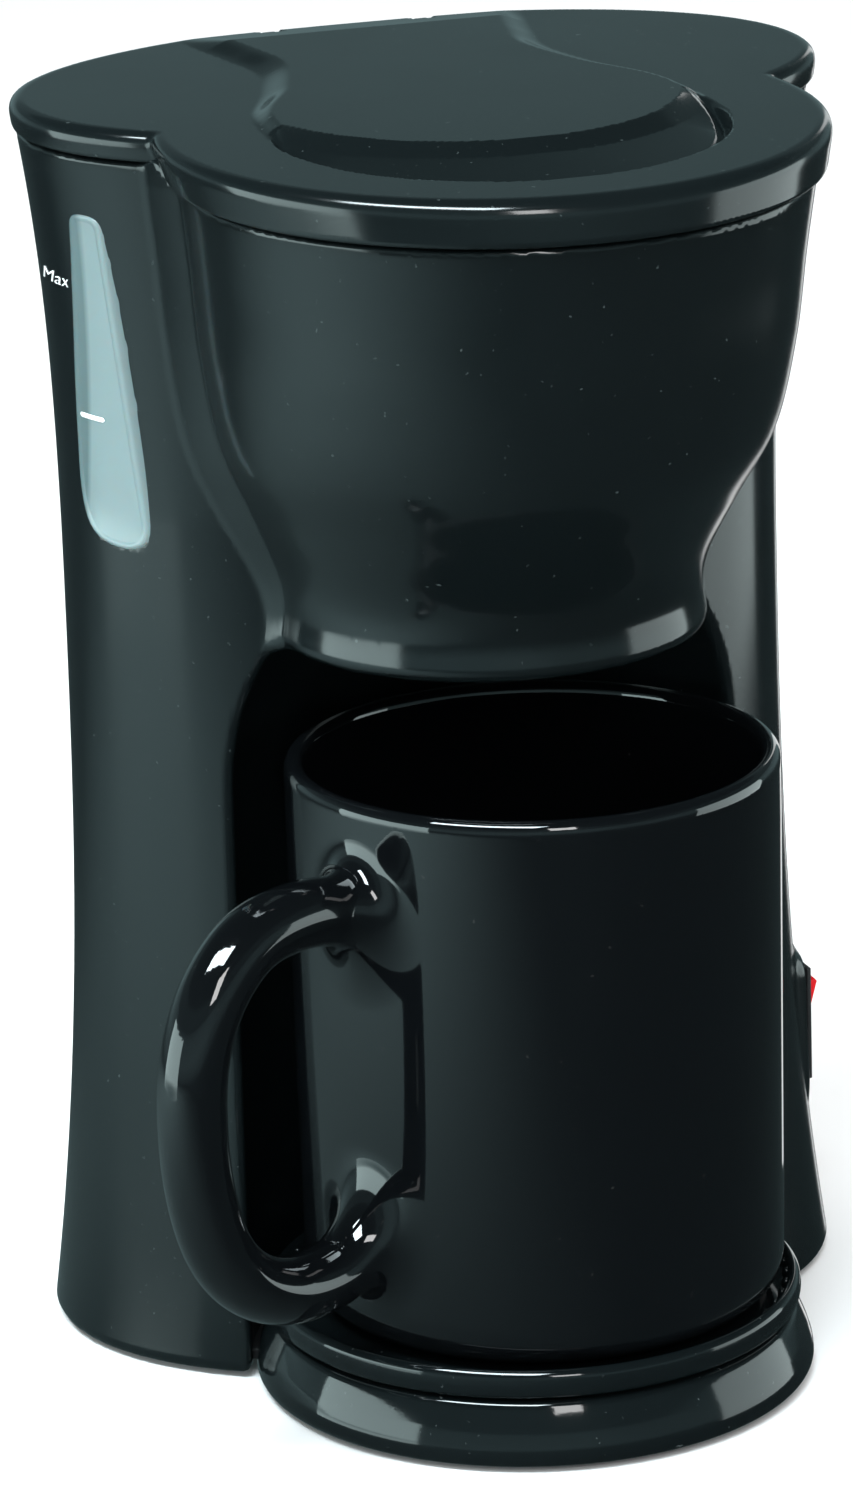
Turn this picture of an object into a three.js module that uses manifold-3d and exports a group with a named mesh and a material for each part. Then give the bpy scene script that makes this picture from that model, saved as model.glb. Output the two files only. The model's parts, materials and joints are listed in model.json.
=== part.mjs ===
// Single-serve drip coffee maker with its mug. Millimetres, +Z up, front towards -Y.
// While it is built, the mug ring's axis is x = y = 0 and the shells' lower edge is z = 0.
// The last lines move the whole group so that its box is centred and it stands on z = 0.
import * as THREE from 'three';
import { mergeVertices } from 'three/addons/utils/BufferGeometryUtils.js';
import Module from 'manifold-3d';

const wasm = await Module();
wasm.setup();

// ---------------------------------------------------------------- driving dimensions
const WALL = 2.4;              // moulded wall thickness
const GAP = 0.35;              // clearance between pieces that touch
const FOOT_LIFT = 1;           // how far the feet stand below the shells

const TOWER_POWER = 2.08;      // superellipse exponent of the tower's plan
const WAIST_WIDTH = 63.9;      // half width at the waist
const WAIST_Z = 130;
const FOOT_FLARE = 7.4;        // extra half width at the foot
const TOP_FLARE = 5;           // extra half width at the rim
const BACK_WAIST = 40.6;       // half depth at its narrowest
const BACK_WAIST_Z = 165;
const SEAM_Z = 209.8;          // height of the lid seam above the mug axis
const SEAM_SLOPE = 0.032;      // the seam rises towards the back
const LID_HEIGHT = 8;
const WING_STEP = 2.6;         // the tower's rim stands this much above the brew head's seam

const FUNNEL_Z = 129.3;        // underside of the brew head
const FUNNEL_TOP_R = 52.8;
const FUNNEL_SHIFT = 0.68;     // the brew head's centre moves back as it narrows
const NICHE_R = 49;            // concave wall behind the mug
const DECK_Z = 10.9;           // top of the base deck
const BASE_R = 48.4;           // foot of the round base
const RESERVOIR_Z = 106;       // inside floor of the water tank

const MUG_X = 1.05;
const MUG_Y = -3.3;
const MUG_R = 42;
const MUG_Z = 14.9;
const MUG_TOP = 112.1;
const MUG_WALL = 3.6;
const HANDLE_ANGLE = 64;       // degrees from the front towards the left
const HANDLE_R = 5.9;

const SWITCH = {
  x: 65.9, y: 45.1, z: 40,     // middle of the land's flat face
  width: 15, height: 21,       // bezel
  landWidth: 19.4, landHeight: 27,
  barrelWidth: 12.4, barrelHeight: 18.4, barrelDepth: 15,
  wellWidth: 10, wellHeight: 16,
  pinDepth: 1.6,               // rocker pin behind the face
};
const HINGE = { y: 84.8, z: 218.3, ear: 14, eye: 1.7, pin: 0.75 };   // pivot of the lid
const HEATER = { left: -26, right: 20, front: 63, back: 82, tubeZ: 25, rodZ: 14.5 };
const RISER = { x: 26, y: 74, r: 3.5 };
const NIPPLE = { x: 44, y: 63 };
const GLAND = { y: 94.6, z: 14, r: 4.6, flange: 6.6, bore: 3 };
const DRIP_Y = 5;
const FEET = [
  ['front_left', -26, -26], ['front_right', 26, -26], ['rear_left', -42, 78], ['rear_right', 42, 78],
];
const SCREWS = [
  ['front_left', -12, -36], ['front_right', 12, -36], ['rear_left', -57, 58], ['rear_right', 57, 58],
];
const SCREW_HOLE_R = 1.55;
const COVER_Z = [1.4, 3.4];    // underside and top of the bottom cover

// ---------------------------------------------------------------- colours and finishes
const finish = (color, roughness, metalness = 0) => ({ color, roughness, metalness });
const BLACK = finish(0x141516, 0.32);
const GLOSS = finish(0x0c0c0d, 0.14);
const INNER = finish(0x1c1d1f, 0.5);
const RUBBER = finish(0x161616, 0.85);
const STEEL = finish(0xb8bcc0, 0.35, 1);
const ALUMINIUM = finish(0xc2c5c8, 0.45, 1);
const BRASS = finish(0xc9a34e, 0.35, 1);
const SILICONE = finish(0xd8dad6, 0.55);
const CLEAR = finish(0xc4d2d4, 0.3);
const RED = finish(0xc41420, 0.3);
const CERAMIC = finish(0x08080a, 0.08);
const WHITE = finish(0xe6e2d8, 0.5);

// ---------------------------------------------------------------- geometry helpers
const machine = new THREE.Group();

/** Signed volume of an indexed closed geometry: negative when it is inside out. */
function signedVolume(position, index) {
  const [a, b, c] = [new THREE.Vector3(), new THREE.Vector3(), new THREE.Vector3()];
  let volume = 0;
  for (let i = 0; i < index.length; i += 3) {
    a.fromBufferAttribute(position, index[i]);
    b.fromBufferAttribute(position, index[i + 1]);
    c.fromBufferAttribute(position, index[i + 2]);
    volume += a.dot(b.cross(c)) / 6;
  }
  return volume;
}

/** Shares the vertices, drops collapsed triangles and turns the faces outwards. */
function weld(geometry) {
  const bare = geometry.clone();
  bare.deleteAttribute('normal');
  bare.deleteAttribute('uv');
  const merged = mergeVertices(bare, 1e-3);
  const source = merged.index.array;
  const index = [];
  for (let i = 0; i < source.length; i += 3) {
    const [a, b, c] = [source[i], source[i + 1], source[i + 2]];
    if (a !== b && b !== c && c !== a) index.push(a, b, c);
  }
  if (signedVolume(merged.attributes.position, index) < 0) index.reverse();
  merged.setIndex(index);
  return merged;
}

/** A three.js geometry as a solid that can be cut and joined. */
function solid(geometry) {
  const closed = weld(geometry);
  const mesh = new wasm.Mesh({
    numProp: 3,
    vertProperties: new Float32Array(closed.attributes.position.array),
    triVerts: new Uint32Array(closed.index.array),
  });
  return new wasm.Manifold(mesh);
}

/** A cut or joined solid as a three.js geometry. */
function geometryOf(body) {
  const mesh = body.getMesh();
  const geometry = new THREE.BufferGeometry();
  geometry.setAttribute('position', new THREE.BufferAttribute(mesh.vertProperties.slice(), 3));
  geometry.setIndex(Array.from(mesh.triVerts));
  return geometry;
}

const subtract = (body, ...tools) => tools.reduce((rest, tool) => rest.subtract(tool), body);
const join = (body, ...others) => others.reduce((sum, other) => sum.add(other), body);

/** Adds a named sub-part from a geometry or a solid. */
function part(name, shape, look) {
  const geometry = shape.isBufferGeometry ? weld(shape) : geometryOf(shape);
  const mesh = new THREE.Mesh(geometry, new THREE.MeshStandardMaterial(look));
  mesh.name = name;
  machine.add(mesh);
  return mesh;
}

/** Closed skin over a stack of rings with equal point counts, capped at both ends. */
function loft(rings) {
  const count = rings[0].length;
  const points = rings.flat();
  const index = [];
  for (let r = 0; r + 1 < rings.length; r += 1) {
    for (let i = 0; i < count; i += 1) {
      const a = r * count + i;
      const b = r * count + (i + 1) % count;
      index.push(a, b, a + count, b, b + count, a + count);
    }
  }
  for (const [start, flip] of [[0, true], [(rings.length - 1) * count, false]]) {
    const centre = new THREE.Vector3();
    for (let i = 0; i < count; i += 1) centre.addScaledVector(points[start + i], 1 / count);
    const hub = points.push(centre) - 1;
    for (let i = 0; i < count; i += 1) {
      const [a, b] = [start + i, start + (i + 1) % count];
      index.push(hub, flip ? b : a, flip ? a : b);
    }
  }
  const geometry = new THREE.BufferGeometry().setFromPoints(points);
  geometry.setIndex(index);
  return geometry;
}

const box = (x0, x1, y0, y1, z0, z1) => new THREE.BoxGeometry(x1 - x0, y1 - y0, z1 - z0)
  .translate((x0 + x1) / 2, (y0 + y1) / 2, (z0 + z1) / 2);

/** Box between two x values, centred on y and z. */
const slab = (x0, x1, y, z, width, height) => solid(
  box(x0, x1, y - width / 2, y + width / 2, z - height / 2, z + height / 2));

/** Upright cylinder between two heights. */
const post = (radius, x, y, z0, z1, sides = 12) => new THREE.CylinderGeometry(radius, radius, z1 - z0, sides)
  .rotateX(Math.PI / 2).translate(x, y, (z0 + z1) / 2);

/** Cylinder lying along X between two x values, given in either order. */
function axle(radius, x0, x1, y, z, sides = 16) {
  const cylinder = new THREE.CylinderGeometry(radius, radius, Math.abs(x1 - x0), sides);
  return cylinder.rotateZ(Math.PI / 2).translate((x0 + x1) / 2, y, z);
}

/** Cylinder lying along Y, centred on a point. */
function barrelY(radius, length, x, y, z, sides = 16) {
  return new THREE.CylinderGeometry(radius, radius, length, sides).translate(x, y, z);
}

/** Turned shape from [radius, height] pairs, about the z axis. */
function turned(profile, sides = 28) {
  const points = profile.map(([r, z]) => new THREE.Vector2(r, z));
  return new THREE.LatheGeometry(points, sides).rotateX(Math.PI / 2);
}

const ring = (outer, inner, z0, z1, sides = 28) => turned(
  [[inner, z0], [outer, z0], [outer, z1], [inner, z1], [inner, z0]], sides);

/** Round tube or hose along points; a bore makes it hollow. */
function tube(points, radius, { bore = 0, sides = 8, steps = 12 } = {}) {
  const path = new THREE.CatmullRomCurve3(points.map((p) => new THREE.Vector3(...p)), false, 'centripetal');
  const section = new THREE.Shape(circlePoints(radius, sides));
  if (bore > 0) section.holes.push(new THREE.Path(circlePoints(bore, sides)));
  return new THREE.ExtrudeGeometry(section, { steps, extrudePath: path });
}

function circlePoints(radius, sides) {
  return Array.from({ length: sides }, (_, i) => {
    const angle = (i / sides) * 2 * Math.PI;
    return new THREE.Vector2(radius * Math.cos(angle), radius * Math.sin(angle));
  });
}

/** Turns a shape's own x, y and depth into y, z and x. */
const FACING_X = new THREE.Matrix4().makeBasis(
  new THREE.Vector3(0, 1, 0), new THREE.Vector3(0, 0, 1), new THREE.Vector3(1, 0, 0));

/** Prism along X from an outline in y and z. */
function prismX(outline, x0, x1) {
  const shape = new THREE.Shape(outline.map(([y, z]) => new THREE.Vector2(y, z)));
  const geometry = new THREE.ExtrudeGeometry(shape, { depth: x1 - x0, bevelEnabled: false });
  return geometry.applyMatrix4(FACING_X).translate(x0, 0, 0);
}

// ---------------------------------------------------------------- the machine's own curves
const seamAt = (y) => SEAM_Z + SEAM_SLOPE * y;

/** Half width, half depth and centre of the tower's plan at a height. */
function towerPlan(z) {
  const low = Math.max(0, 1 - z / WAIST_Z);
  const high = Math.max(0, (z - WAIST_Z) / (SEAM_Z - WAIST_Z));
  const backLow = Math.max(0, 1 - z / BACK_WAIST_Z);
  const backHigh = Math.max(0, (z - BACK_WAIST_Z) / (SEAM_Z - BACK_WAIST_Z));
  return {
    width: WAIST_WIDTH + FOOT_FLARE * low ** 2.6 + TOP_FLARE * high ** 2.6,
    depth: BACK_WAIST + 9 * backLow ** 1.9 + 1.2 * backHigh ** 2,
    centre: 49.4 - 3.1 * Math.max(0, (z - 150) / 59.8) ** 1.5,
  };
}

function superellipse(width, depth, centre, z, count = 32) {
  return Array.from({ length: count }, (_, i) => {
    const angle = (i / count) * 2 * Math.PI;
    const [c, s] = [Math.cos(angle), Math.sin(angle)];
    const x = Math.sign(c) * Math.abs(c) ** (2 / TOWER_POWER) * width;
    const y = centre + Math.sign(s) * Math.abs(s) ** (2 / TOWER_POWER) * depth;
    return new THREE.Vector3(x, y, typeof z === 'function' ? z(y) : z);
  });
}

const TOWER_STEP = 24;         // height between two of the tower's plans

/** The tower as a stack of plans, drawn in by an inset; above the rim it follows the seam. */
function towerBody(inset, z0, z1) {
  const rings = [];
  const top = Math.min(z1, SEAM_Z - 4);
  const levels = Math.max(2, Math.round((top - z0) / TOWER_STEP));
  for (let i = 0; i <= levels; i += 1) {
    const z = z0 + ((top - z0) * i) / levels;
    const plan = towerPlan(z);
    rings.push(superellipse(plan.width - inset, plan.depth - inset, plan.centre, z));
  }
  if (z1 > top) {
    const plan = towerPlan(SEAM_Z);
    const lift = z1 - SEAM_Z;
    const rim = (y) => seamAt(y) + lift;
    rings.push(superellipse(plan.width - inset, plan.depth - inset, plan.centre, rim));
  }
  return solid(loft(rings));
}

const FUNNEL_STATIONS = [136, 142, 148, 154, 161, 170, 184];
const FUNNEL_CURVE = new THREE.SplineCurve([
  [37.4, FUNNEL_Z], [36.6, 136], [37.6, 143], [41.9, 154],
  [46.9, 166], [49.7, 181], [51.2, 196], [FUNNEL_TOP_R, SEAM_Z],
].map(([r, z]) => new THREE.Vector2(r, z)));

/** Outer radius of the brew head at a height. */
function funnelRadius(z) {
  const points = FUNNEL_CURVE.getPoints(60);
  const above = points.findIndex((p) => p.y >= z);
  if (above <= 0) return above < 0 ? FUNNEL_TOP_R : points[0].x;
  const [low, high] = [points[above - 1], points[above]];
  return THREE.MathUtils.mapLinear(z, low.y, high.y, low.x, high.x);
}

/** The brew head's round body, drawn in by an inset; past the rim it follows the seam. */
function funnelBody(inset, z0, z1) {
  const top = Math.min(z1, SEAM_Z - 6);
  const between = FUNNEL_STATIONS.filter((z) => z > z0 + 2 && z < top - 2);
  const rings = [z0, ...between, top].map((z) => funnelRing(funnelRadius(z) - inset, funnelRadius(z), z));
  if (z1 > top) {
    const lift = z1 - SEAM_Z;
    rings.push(funnelRing(FUNNEL_TOP_R - inset, FUNNEL_TOP_R, (y) => seamAt(y) + lift));
  }
  return solid(loft(rings));
}

function funnelRing(radius, outerRadius, z, count = 28) {
  const centre = 3.4 + FUNNEL_SHIFT * (FUNNEL_TOP_R - outerRadius);
  return Array.from({ length: count }, (_, i) => {
    const angle = (i / count) * 2 * Math.PI;
    const y = centre + radius * Math.sin(angle);
    return new THREE.Vector3(radius * Math.cos(angle), y, typeof z === 'function' ? z(y) : z);
  });
}

const disc = (radius, z0, z1, sides = 32) => solid(post(radius, 0, 0, z0, z1, sides));

// ---------------------------------------------------------------- housing
const GAUGE = [
  [29.6, 145], [42.4, 147.5], [43.8, 151], [42.6, 172], [36.6, 199], [34, 202.5], [31, 202.5], [29.8, 199],
];
const GAUGE_X = [-80, -45];    // the cut for the window passes through the left wall only

/** The window's outline in y and z, drawn in evenly by an inset. */
function gaugeOutline(inset) {
  const points = GAUGE.map(([y, z]) => new THREE.Vector2(y, z));
  return points.map((point, i) => {
    const before = points[(i + points.length - 1) % points.length];
    const after = points[(i + 1) % points.length];
    const along = point.clone().sub(before).normalize();
    const onward = after.clone().sub(point).normalize();
    const inward = new THREE.Vector2(-along.y - onward.y, along.x + onward.x);
    const reach = inset / (1 + along.dot(onward));
    return [point.x + inward.x * reach, point.y + inward.y * reach];
  });
}

function buildHousing() {
  const tower = subtract(
    towerBody(0, 0, SEAM_Z + WING_STEP), disc(NICHE_R, -1, FUNNEL_Z), lidFront(-GAP, -GAP, 20));
  const shell = join(tower, funnelBody(0, FUNNEL_Z, SEAM_Z), switchLand());
  const nicheWall = disc(NICHE_R + WALL, DECK_Z + GAP, FUNNEL_Z + WALL);
  const lowerRoom = subtract(towerBody(WALL, -1, RESERVOIR_Z - WALL), nicheWall);
  const tank = subtract(
    towerBody(WALL, RESERVOIR_Z, SEAM_Z + 8), nicheWall, funnelBody(0, FUNNEL_Z, SEAM_Z + 6));
  const brewRoom = funnelBody(WALL, FUNNEL_Z + WALL, SEAM_Z + 6);
  const hollow = subtract(shell, lowerRoom, tank, brewRoom, ...housingOpenings());
  return join(hollow, hingeEars(), coverColumns());
}

/** Window, switch, drip hole, riser, tank outlet, water spout and cord gland. */
function housingOpenings() {
  const { x, y, z, barrelWidth, barrelHeight, landWidth, landHeight } = SWITCH;
  const [floorLow, floorHigh] = [RESERVOIR_Z - 5, RESERVOIR_Z + 1];
  return [
    solid(prismX(gaugeOutline(0), ...GAUGE_X)),
    slab(x - 10.9, x + 9.1, y, z, barrelWidth + 0.8, barrelHeight + 0.8),
    slab(x, x + 9.1, y, z, landWidth, landHeight),
    solid(post(4.4, 0, DRIP_Y, FUNNEL_Z - 1, FUNNEL_Z + 5)),
    solid(post(5.2, RISER.x, RISER.y, floorLow, floorHigh)),
    solid(post(4, NIPPLE.x, NIPPLE.y, floorLow, floorHigh)),
    solid(tube(SPOUT_PATH.slice(2, 6), 4.4, { steps: 8 })),
    solid(barrelY(GLAND.r + GAP, 14, 0, GLAND.y, GLAND.z)),
  ];
}

// The lid's round front is a circle and its wide back an oval, each at the seam and at the top.
const LID_FRONT = [{ r: 54.4, y: 3.9 }, { r: 56.9, y: 7 }];
const LID_BACK = [{ a: 69.9, b: 41.9, y: 45.4 }, { a: 71.1, b: 42.9, y: 45.4 }];
const LID_ROUNDING = [0, 0, 1.2];   // how far each level of the edge is drawn in

const lidLevels = (low, high) => [low, Math.max(low + 0.5, high - 1.5), high];
const between = (table, key, height) => THREE.MathUtils.lerp(
  table[0][key], table[1][key], height / LID_HEIGHT);

/** Round front of the lid between two heights above the seam, drawn in by an inset. */
function lidFront(inset, low, high, count = 32) {
  const rings = lidLevels(low, high).map((height, level) => {
    const radius = between(LID_FRONT, 'r', height) - inset - LID_ROUNDING[level];
    return Array.from({ length: count }, (_, i) => {
      const angle = (i / count) * 2 * Math.PI;
      const y = between(LID_FRONT, 'y', height) + radius * Math.sin(angle);
      return new THREE.Vector3(radius * Math.cos(angle), y, seamAt(y) + height);
    });
  });
  return solid(loft(rings));
}

/** Wide back of the lid; its lower edge sits on the tower's higher rim. */
function lidWings(inset, low, high) {
  const rings = lidLevels(low, high).map((height, level) => {
    const draw = inset + LID_ROUNDING[level];
    const width = between(LID_BACK, 'a', height) - draw;
    const depth = between(LID_BACK, 'b', height) - draw;
    return superellipse(width, depth, LID_BACK[0].y, (y) => seamAt(y) + height);
  });
  return solid(loft(rings));
}

/** Flat land that carries the switch on the right side. */
function switchLand() {
  return slab(58, SWITCH.x, SWITCH.y, SWITCH.z, SWITCH.landWidth, SWITCH.landHeight);
}

/** Two ears behind the tank that hold the lid's pins. */
function hingeEars() {
  const ears = [-1, 1].map((side) => {
    const x = side * HINGE.ear;
    const foot = seamAt(HINGE.y) - 6;
    const blade = solid(box(x - 1.5, x + 1.5, HINGE.y - 1.6, HINGE.y + 1, foot, HINGE.z));
    const eye = solid(axle(HINGE.eye, x - 1.5, x + 1.5, HINGE.y, HINGE.z));
    return subtract(join(blade, eye), solid(axle(HINGE.pin + 0.3, x - 4, x + 4, HINGE.y, HINGE.z)));
  });
  return join(...ears);
}

/** Screw columns for the bottom cover, moulded to the side walls. */
function coverColumns() {
  const [low, high] = [3.8, 24];
  const columns = SCREWS.slice(2).map(([, x, y]) => {
    const ends = [x, x * 1.15];
    const rib = solid(box(Math.min(...ends), Math.max(...ends), y - 1, y + 1, low, high));
    return subtract(join(solid(post(3.4, x, y, low, high)), rib), solid(post(SCREW_HOLE_R, x, y, 3, 14)));
  });
  return join(...columns);
}

const SPOUT_PATH = [
  [RISER.x, RISER.y, 196], [RISER.x, RISER.y, 199], [24.6, 70.4, 203], [20, 58, 204.4],
  [9, 24, 204.4], [4, 10, 203.4], [3, 7, 200.4],
];

part('main_housing', buildHousing(), BLACK);

const windowPrism = solid(prismX(gaugeOutline(GAP), ...GAUGE_X));
const windowSkin = subtract(towerBody(0.5, RESERVOIR_Z, SEAM_Z), towerBody(2.5, RESERVOIR_Z - 5, SEAM_Z + 3));
part('gauge_window', windowSkin.intersect(windowPrism), CLEAR);

// ---------------------------------------------------------------- base
function buildBase() {
  const skirt = solid(turned([
    [BASE_R - WALL - 0.4, 0], [47.6, 0], [BASE_R, 1.2], [48.2, 3.4], [47.4, 6], [46.4, 8.4],
    [45.5, DECK_Z - 0.5], [44.6, DECK_Z], [42, DECK_Z], [42, DECK_Z - WALL], [43.6, DECK_Z - WALL],
    [BASE_R - WALL - 0.4, 0]], 32));
  const front = subtract(skirt, towerBody(-GAP, -1, 40));
  const columns = SCREWS.slice(0, 2).map(([, x, y]) => subtract(
    solid(post(3.2, x, y, 3.8, DECK_Z - 1)), solid(post(SCREW_HOLE_R, x, y, 3, 8.6))));
  return join(front, disc(44.6, DECK_Z - WALL, DECK_Z), ...columns);
}
part('base_deck', buildBase(), GLOSS);

const ringProfile = [
  [0, DECK_Z + GAP], [45, DECK_Z + GAP], [46, 12.2], [46.3, 13.6], [46.1, 15.6], [45.3, 16.5], [44.4, 16.3],
  [43.6, 15.2], [43.4, 14.5], [0, 14.5]];
part('mug_ring', turned(ringProfile, 32), GLOSS);

function buildCover() {
  const foot = towerPlan(3);
  const clear = WALL + 0.6;
  const rear = loft(COVER_Z.map((z) => superellipse(foot.width - clear, foot.depth - clear, foot.centre, z)));
  const plate = join(solid(rear), disc(BASE_R - WALL - 1.8, ...COVER_Z));
  const holes = SCREWS.map(([, x, y]) => solid(post(1.7, x, y, 0, 5)));
  const vents = [-2, -1, 0, 1, 2].map((i) => solid(box(i * 9 - 1.5, i * 9 + 1.5, 20, 44, 0, 5)));
  return subtract(plate, ...holes, ...vents);
}
part('bottom_cover', buildCover(), INNER);

for (const [place, x, y] of FEET) {
  const foot = turned([[0, -FOOT_LIFT], [5, -FOOT_LIFT], [6, 0], [6, 1.05], [0, 1.05]], 16);
  part(`foot_${place}`, foot.translate(x, y, 0), RUBBER);
}

for (const [place, x, y] of SCREWS) {
  const screw = turned([[0, -0.2], [2, -0.2], [2.8, 0.4], [2.8, 1.05], [1.2, 1.05], [1.2, 8], [0, 8.4]], 12);
  part(`cover_screw_${place}`, screw.translate(x, y, 0), STEEL);
}

// ---------------------------------------------------------------- lid
// Raised keyhole: a round pad with a straight neck that runs back and falls at its rear end.
const PAD = { y: 2, r: 38.5, rise: 1.6, neck: 27.5, back: 74, rear: 89, rearRise: 0.9 };
const SCOOP = { y: 22, r: 37, depth: 2 };   // finger recess in front of the pad

/** Slab that follows the lid's slope over a plan prism. */
function slopedSlab(low, high) {
  const rows = [low, high].map((h) => [[-80, -60], [80, -60], [80, 100], [-80, 100]]
    .map(([x, y]) => new THREE.Vector3(x, y, seamAt(y) + h)));
  return solid(loft(rows));
}

function buildLid() {
  const top = LID_HEIGHT;
  const outside = join(lidFront(0, 0, top), lidWings(0, WING_STEP + GAP, top));
  const inside = join(lidFront(WALL, -3, top - WALL), lidWings(WALL, -3, top - WALL));
  const shell = subtract(outside, inside);
  const round = solid(post(PAD.r, 0, PAD.y, 190, 240, 32));
  const neckTop = (y, rise) => [y, seamAt(y) + top + rise];
  const neck = solid(prismX([
    [PAD.y, 200], [PAD.rear, 200], neckTop(PAD.rear, PAD.rearRise), neckTop(PAD.back, PAD.rise),
    neckTop(PAD.y, PAD.rise),
  ], -PAD.neck, PAD.neck));
  const pad = join(round, neck).intersect(slopedSlab(top - 0.5, top + PAD.rise));
  const under = round.intersect(slopedSlab(top - SCOOP.depth - WALL, top - 1));
  const scoopPlan = subtract(solid(post(PAD.r - 0.6, 0, PAD.y, 190, 240, 32)),
    solid(post(SCOOP.r, 0, SCOOP.y, 180, 250, 32)), solid(box(-60, 60, 12, 90, 180, 250)));
  const scoop = scoopPlan.intersect(slopedSlab(top - SCOOP.depth, top + 9));
  const body = subtract(join(shell, pad, under), scoop, ...rearClearance());
  return subtract(join(body, ...lidKnuckles()), ...lidPinHoles());
}

/** Room for the lid's rear edge to turn above the tower's rim, and slots round the two ears. */
function rearClearance() {
  const underRear = solid(box(-80, 80, HINGE.y - 0.7, 100, 205, HINGE.z - 0.5));
  const lip = solid(box(-PAD.neck - 20, PAD.neck + 20, HINGE.y + 2.95, 100, 205, 230));
  const slots = [-1, 1].map((side) => {
    const x = side * HINGE.ear;
    return solid(box(x - 2, x + 2, HINGE.y - 3.6, 100, 205, HINGE.z + 2.1));
  });
  return [underRear, lip, ...slots];
}

/** Blocks under the lid's rear edge that turn on the pins, beside the ears. */
const lidKnuckles = () => [-1, 1].map((side) => {
  const x = side * (HINGE.ear - 4.5);
  return solid(box(x - 2, x + 2, HINGE.y - 3, HINGE.y + 1.4, HINGE.z - 1.7, HINGE.z + 2));
});

const lidPinHoles = () => [-1, 1].map((side) => {
  const ends = [side * (HINGE.ear - 6.2), side * (HINGE.ear - 2)];
  return solid(axle(HINGE.pin + GAP, ...ends, HINGE.y, HINGE.z));
});
part('lid', buildLid(), BLACK);

for (const [place, side] of [['left', -1], ['right', 1]]) {
  const ends = [side * (HINGE.ear - 5.7), side * (HINGE.ear + 1.6)];
  part(`lid_hinge_pin_${place}`, axle(HINGE.pin, ...ends, HINGE.y, HINGE.z, 12), STEEL);
}

// ---------------------------------------------------------------- brewing parts
const basketFloor = FUNNEL_Z + WALL + 0.5;
const BASKET_TOP = 199;

/** Funnel-shaped cup with a hole over the nozzle. */
function buildBasket() {
  const outer = funnelBody(WALL + 0.9, basketFloor, BASKET_TOP);
  const inner = funnelBody(WALL + 2.5, basketFloor + 1.8, SEAM_Z);
  return subtract(outer, inner, solid(post(3.4, 0, DRIP_Y, 125, 140)));
}
part('brew_basket', buildBasket(), INNER);

const FILTER_Y = 6;
const filterRing = turned([[40.5, 193], [43.6, 193], [44.4, 196.5], [40.9, 196.5], [40.5, 193]], 24);
const filterFoot = turned([[0, 148], [19, 148], [19.6, 150], [0, 150]], 24);
const filterRibs = [0, 1, 2, 3, 4, 5].map((i) => {
  const angle = (i / 6) * 2 * Math.PI;
  const [c, s] = [Math.cos(angle), Math.sin(angle)];
  return solid(tube([[18 * c, 18 * s, 149], [42.2 * c, 42.2 * s, 195]], 0.9, { sides: 6, steps: 1 }));
});
const filterGrip = solid(box(-7, 7, 0, 1.6, 193.4, 199).translate(0, 41.4, 0));
part('filter_frame', join(solid(filterRing), solid(filterFoot), ...filterRibs, filterGrip)
  .translate([0, FILTER_Y, 0]), INNER);
const meshProfile = [[16.6, 150.5], [17.1, 150.5], [40, 193.4], [39.5, 193.4], [16.6, 150.5]];
part('filter_mesh', turned(meshProfile, 24).translate(0, FILTER_Y, 0), BRASS);

part('drip_nozzle', ring(4, 2, FUNNEL_Z - 1.6, FUNNEL_Z + WALL, 12).translate(0, DRIP_Y, 0), INNER);
part('water_spout', tube(SPOUT_PATH, 3.8, { bore: 2.4, steps: 14 }), INNER);

// ---------------------------------------------------------------- water path
const riserTop = SPOUT_PATH[0][2] - GAP;
const riserTube = turned([
  [2.4, 88], [4.5, 88], [4.5, 98], [RISER.r, 99.5], [RISER.r, riserTop], [2.4, riserTop], [2.4, 88]], 12);
part('riser_tube', riserTube.translate(RISER.x, RISER.y, 0), SILICONE);
const grommetBore = RISER.r + 0.3;
const grommet = turned([
  [grommetBore, 101.5], [6.8, 101.5], [6.8, 103.2], [4.9, 103.2], [4.9, 106.4], [6.8, 106.4], [6.8, 108],
  [grommetBore, 108], [grommetBore, 101.5]], 12);
part('riser_grommet', grommet.translate(RISER.x, RISER.y, 0), RUBBER);
const nipple = turned([
  [2.2, 93], [3.4, 93], [3.7, 95], [3.7, 106.4], [6, 106.4], [6, 108], [2.2, 108], [2.2, 93]], 12);
part('tank_outlet', nipple.translate(NIPPLE.x, NIPPLE.y, 0), INNER);
part('check_valve_body', checkValve(), INNER);
part('check_valve_ball', new THREE.SphereGeometry(1.9, 10, 6).translate(NIPPLE.x, NIPPLE.y, 84.9), STEEL);

/** Non-return valve: a short barrel with a seat for the ball. */
function checkValve() {
  const barrel = turned([
    [1.2, 72], [4.4, 72], [4.4, 80], [5.4, 81], [5.4, 89], [4, 90], [4, 92.4], [3, 92.4], [3, 90], [2.6, 88],
    [2.6, 83.4], [1.2, 82], [1.2, 72]], 12);
  return barrel.translate(NIPPLE.x, NIPPLE.y, 0);
}

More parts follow.
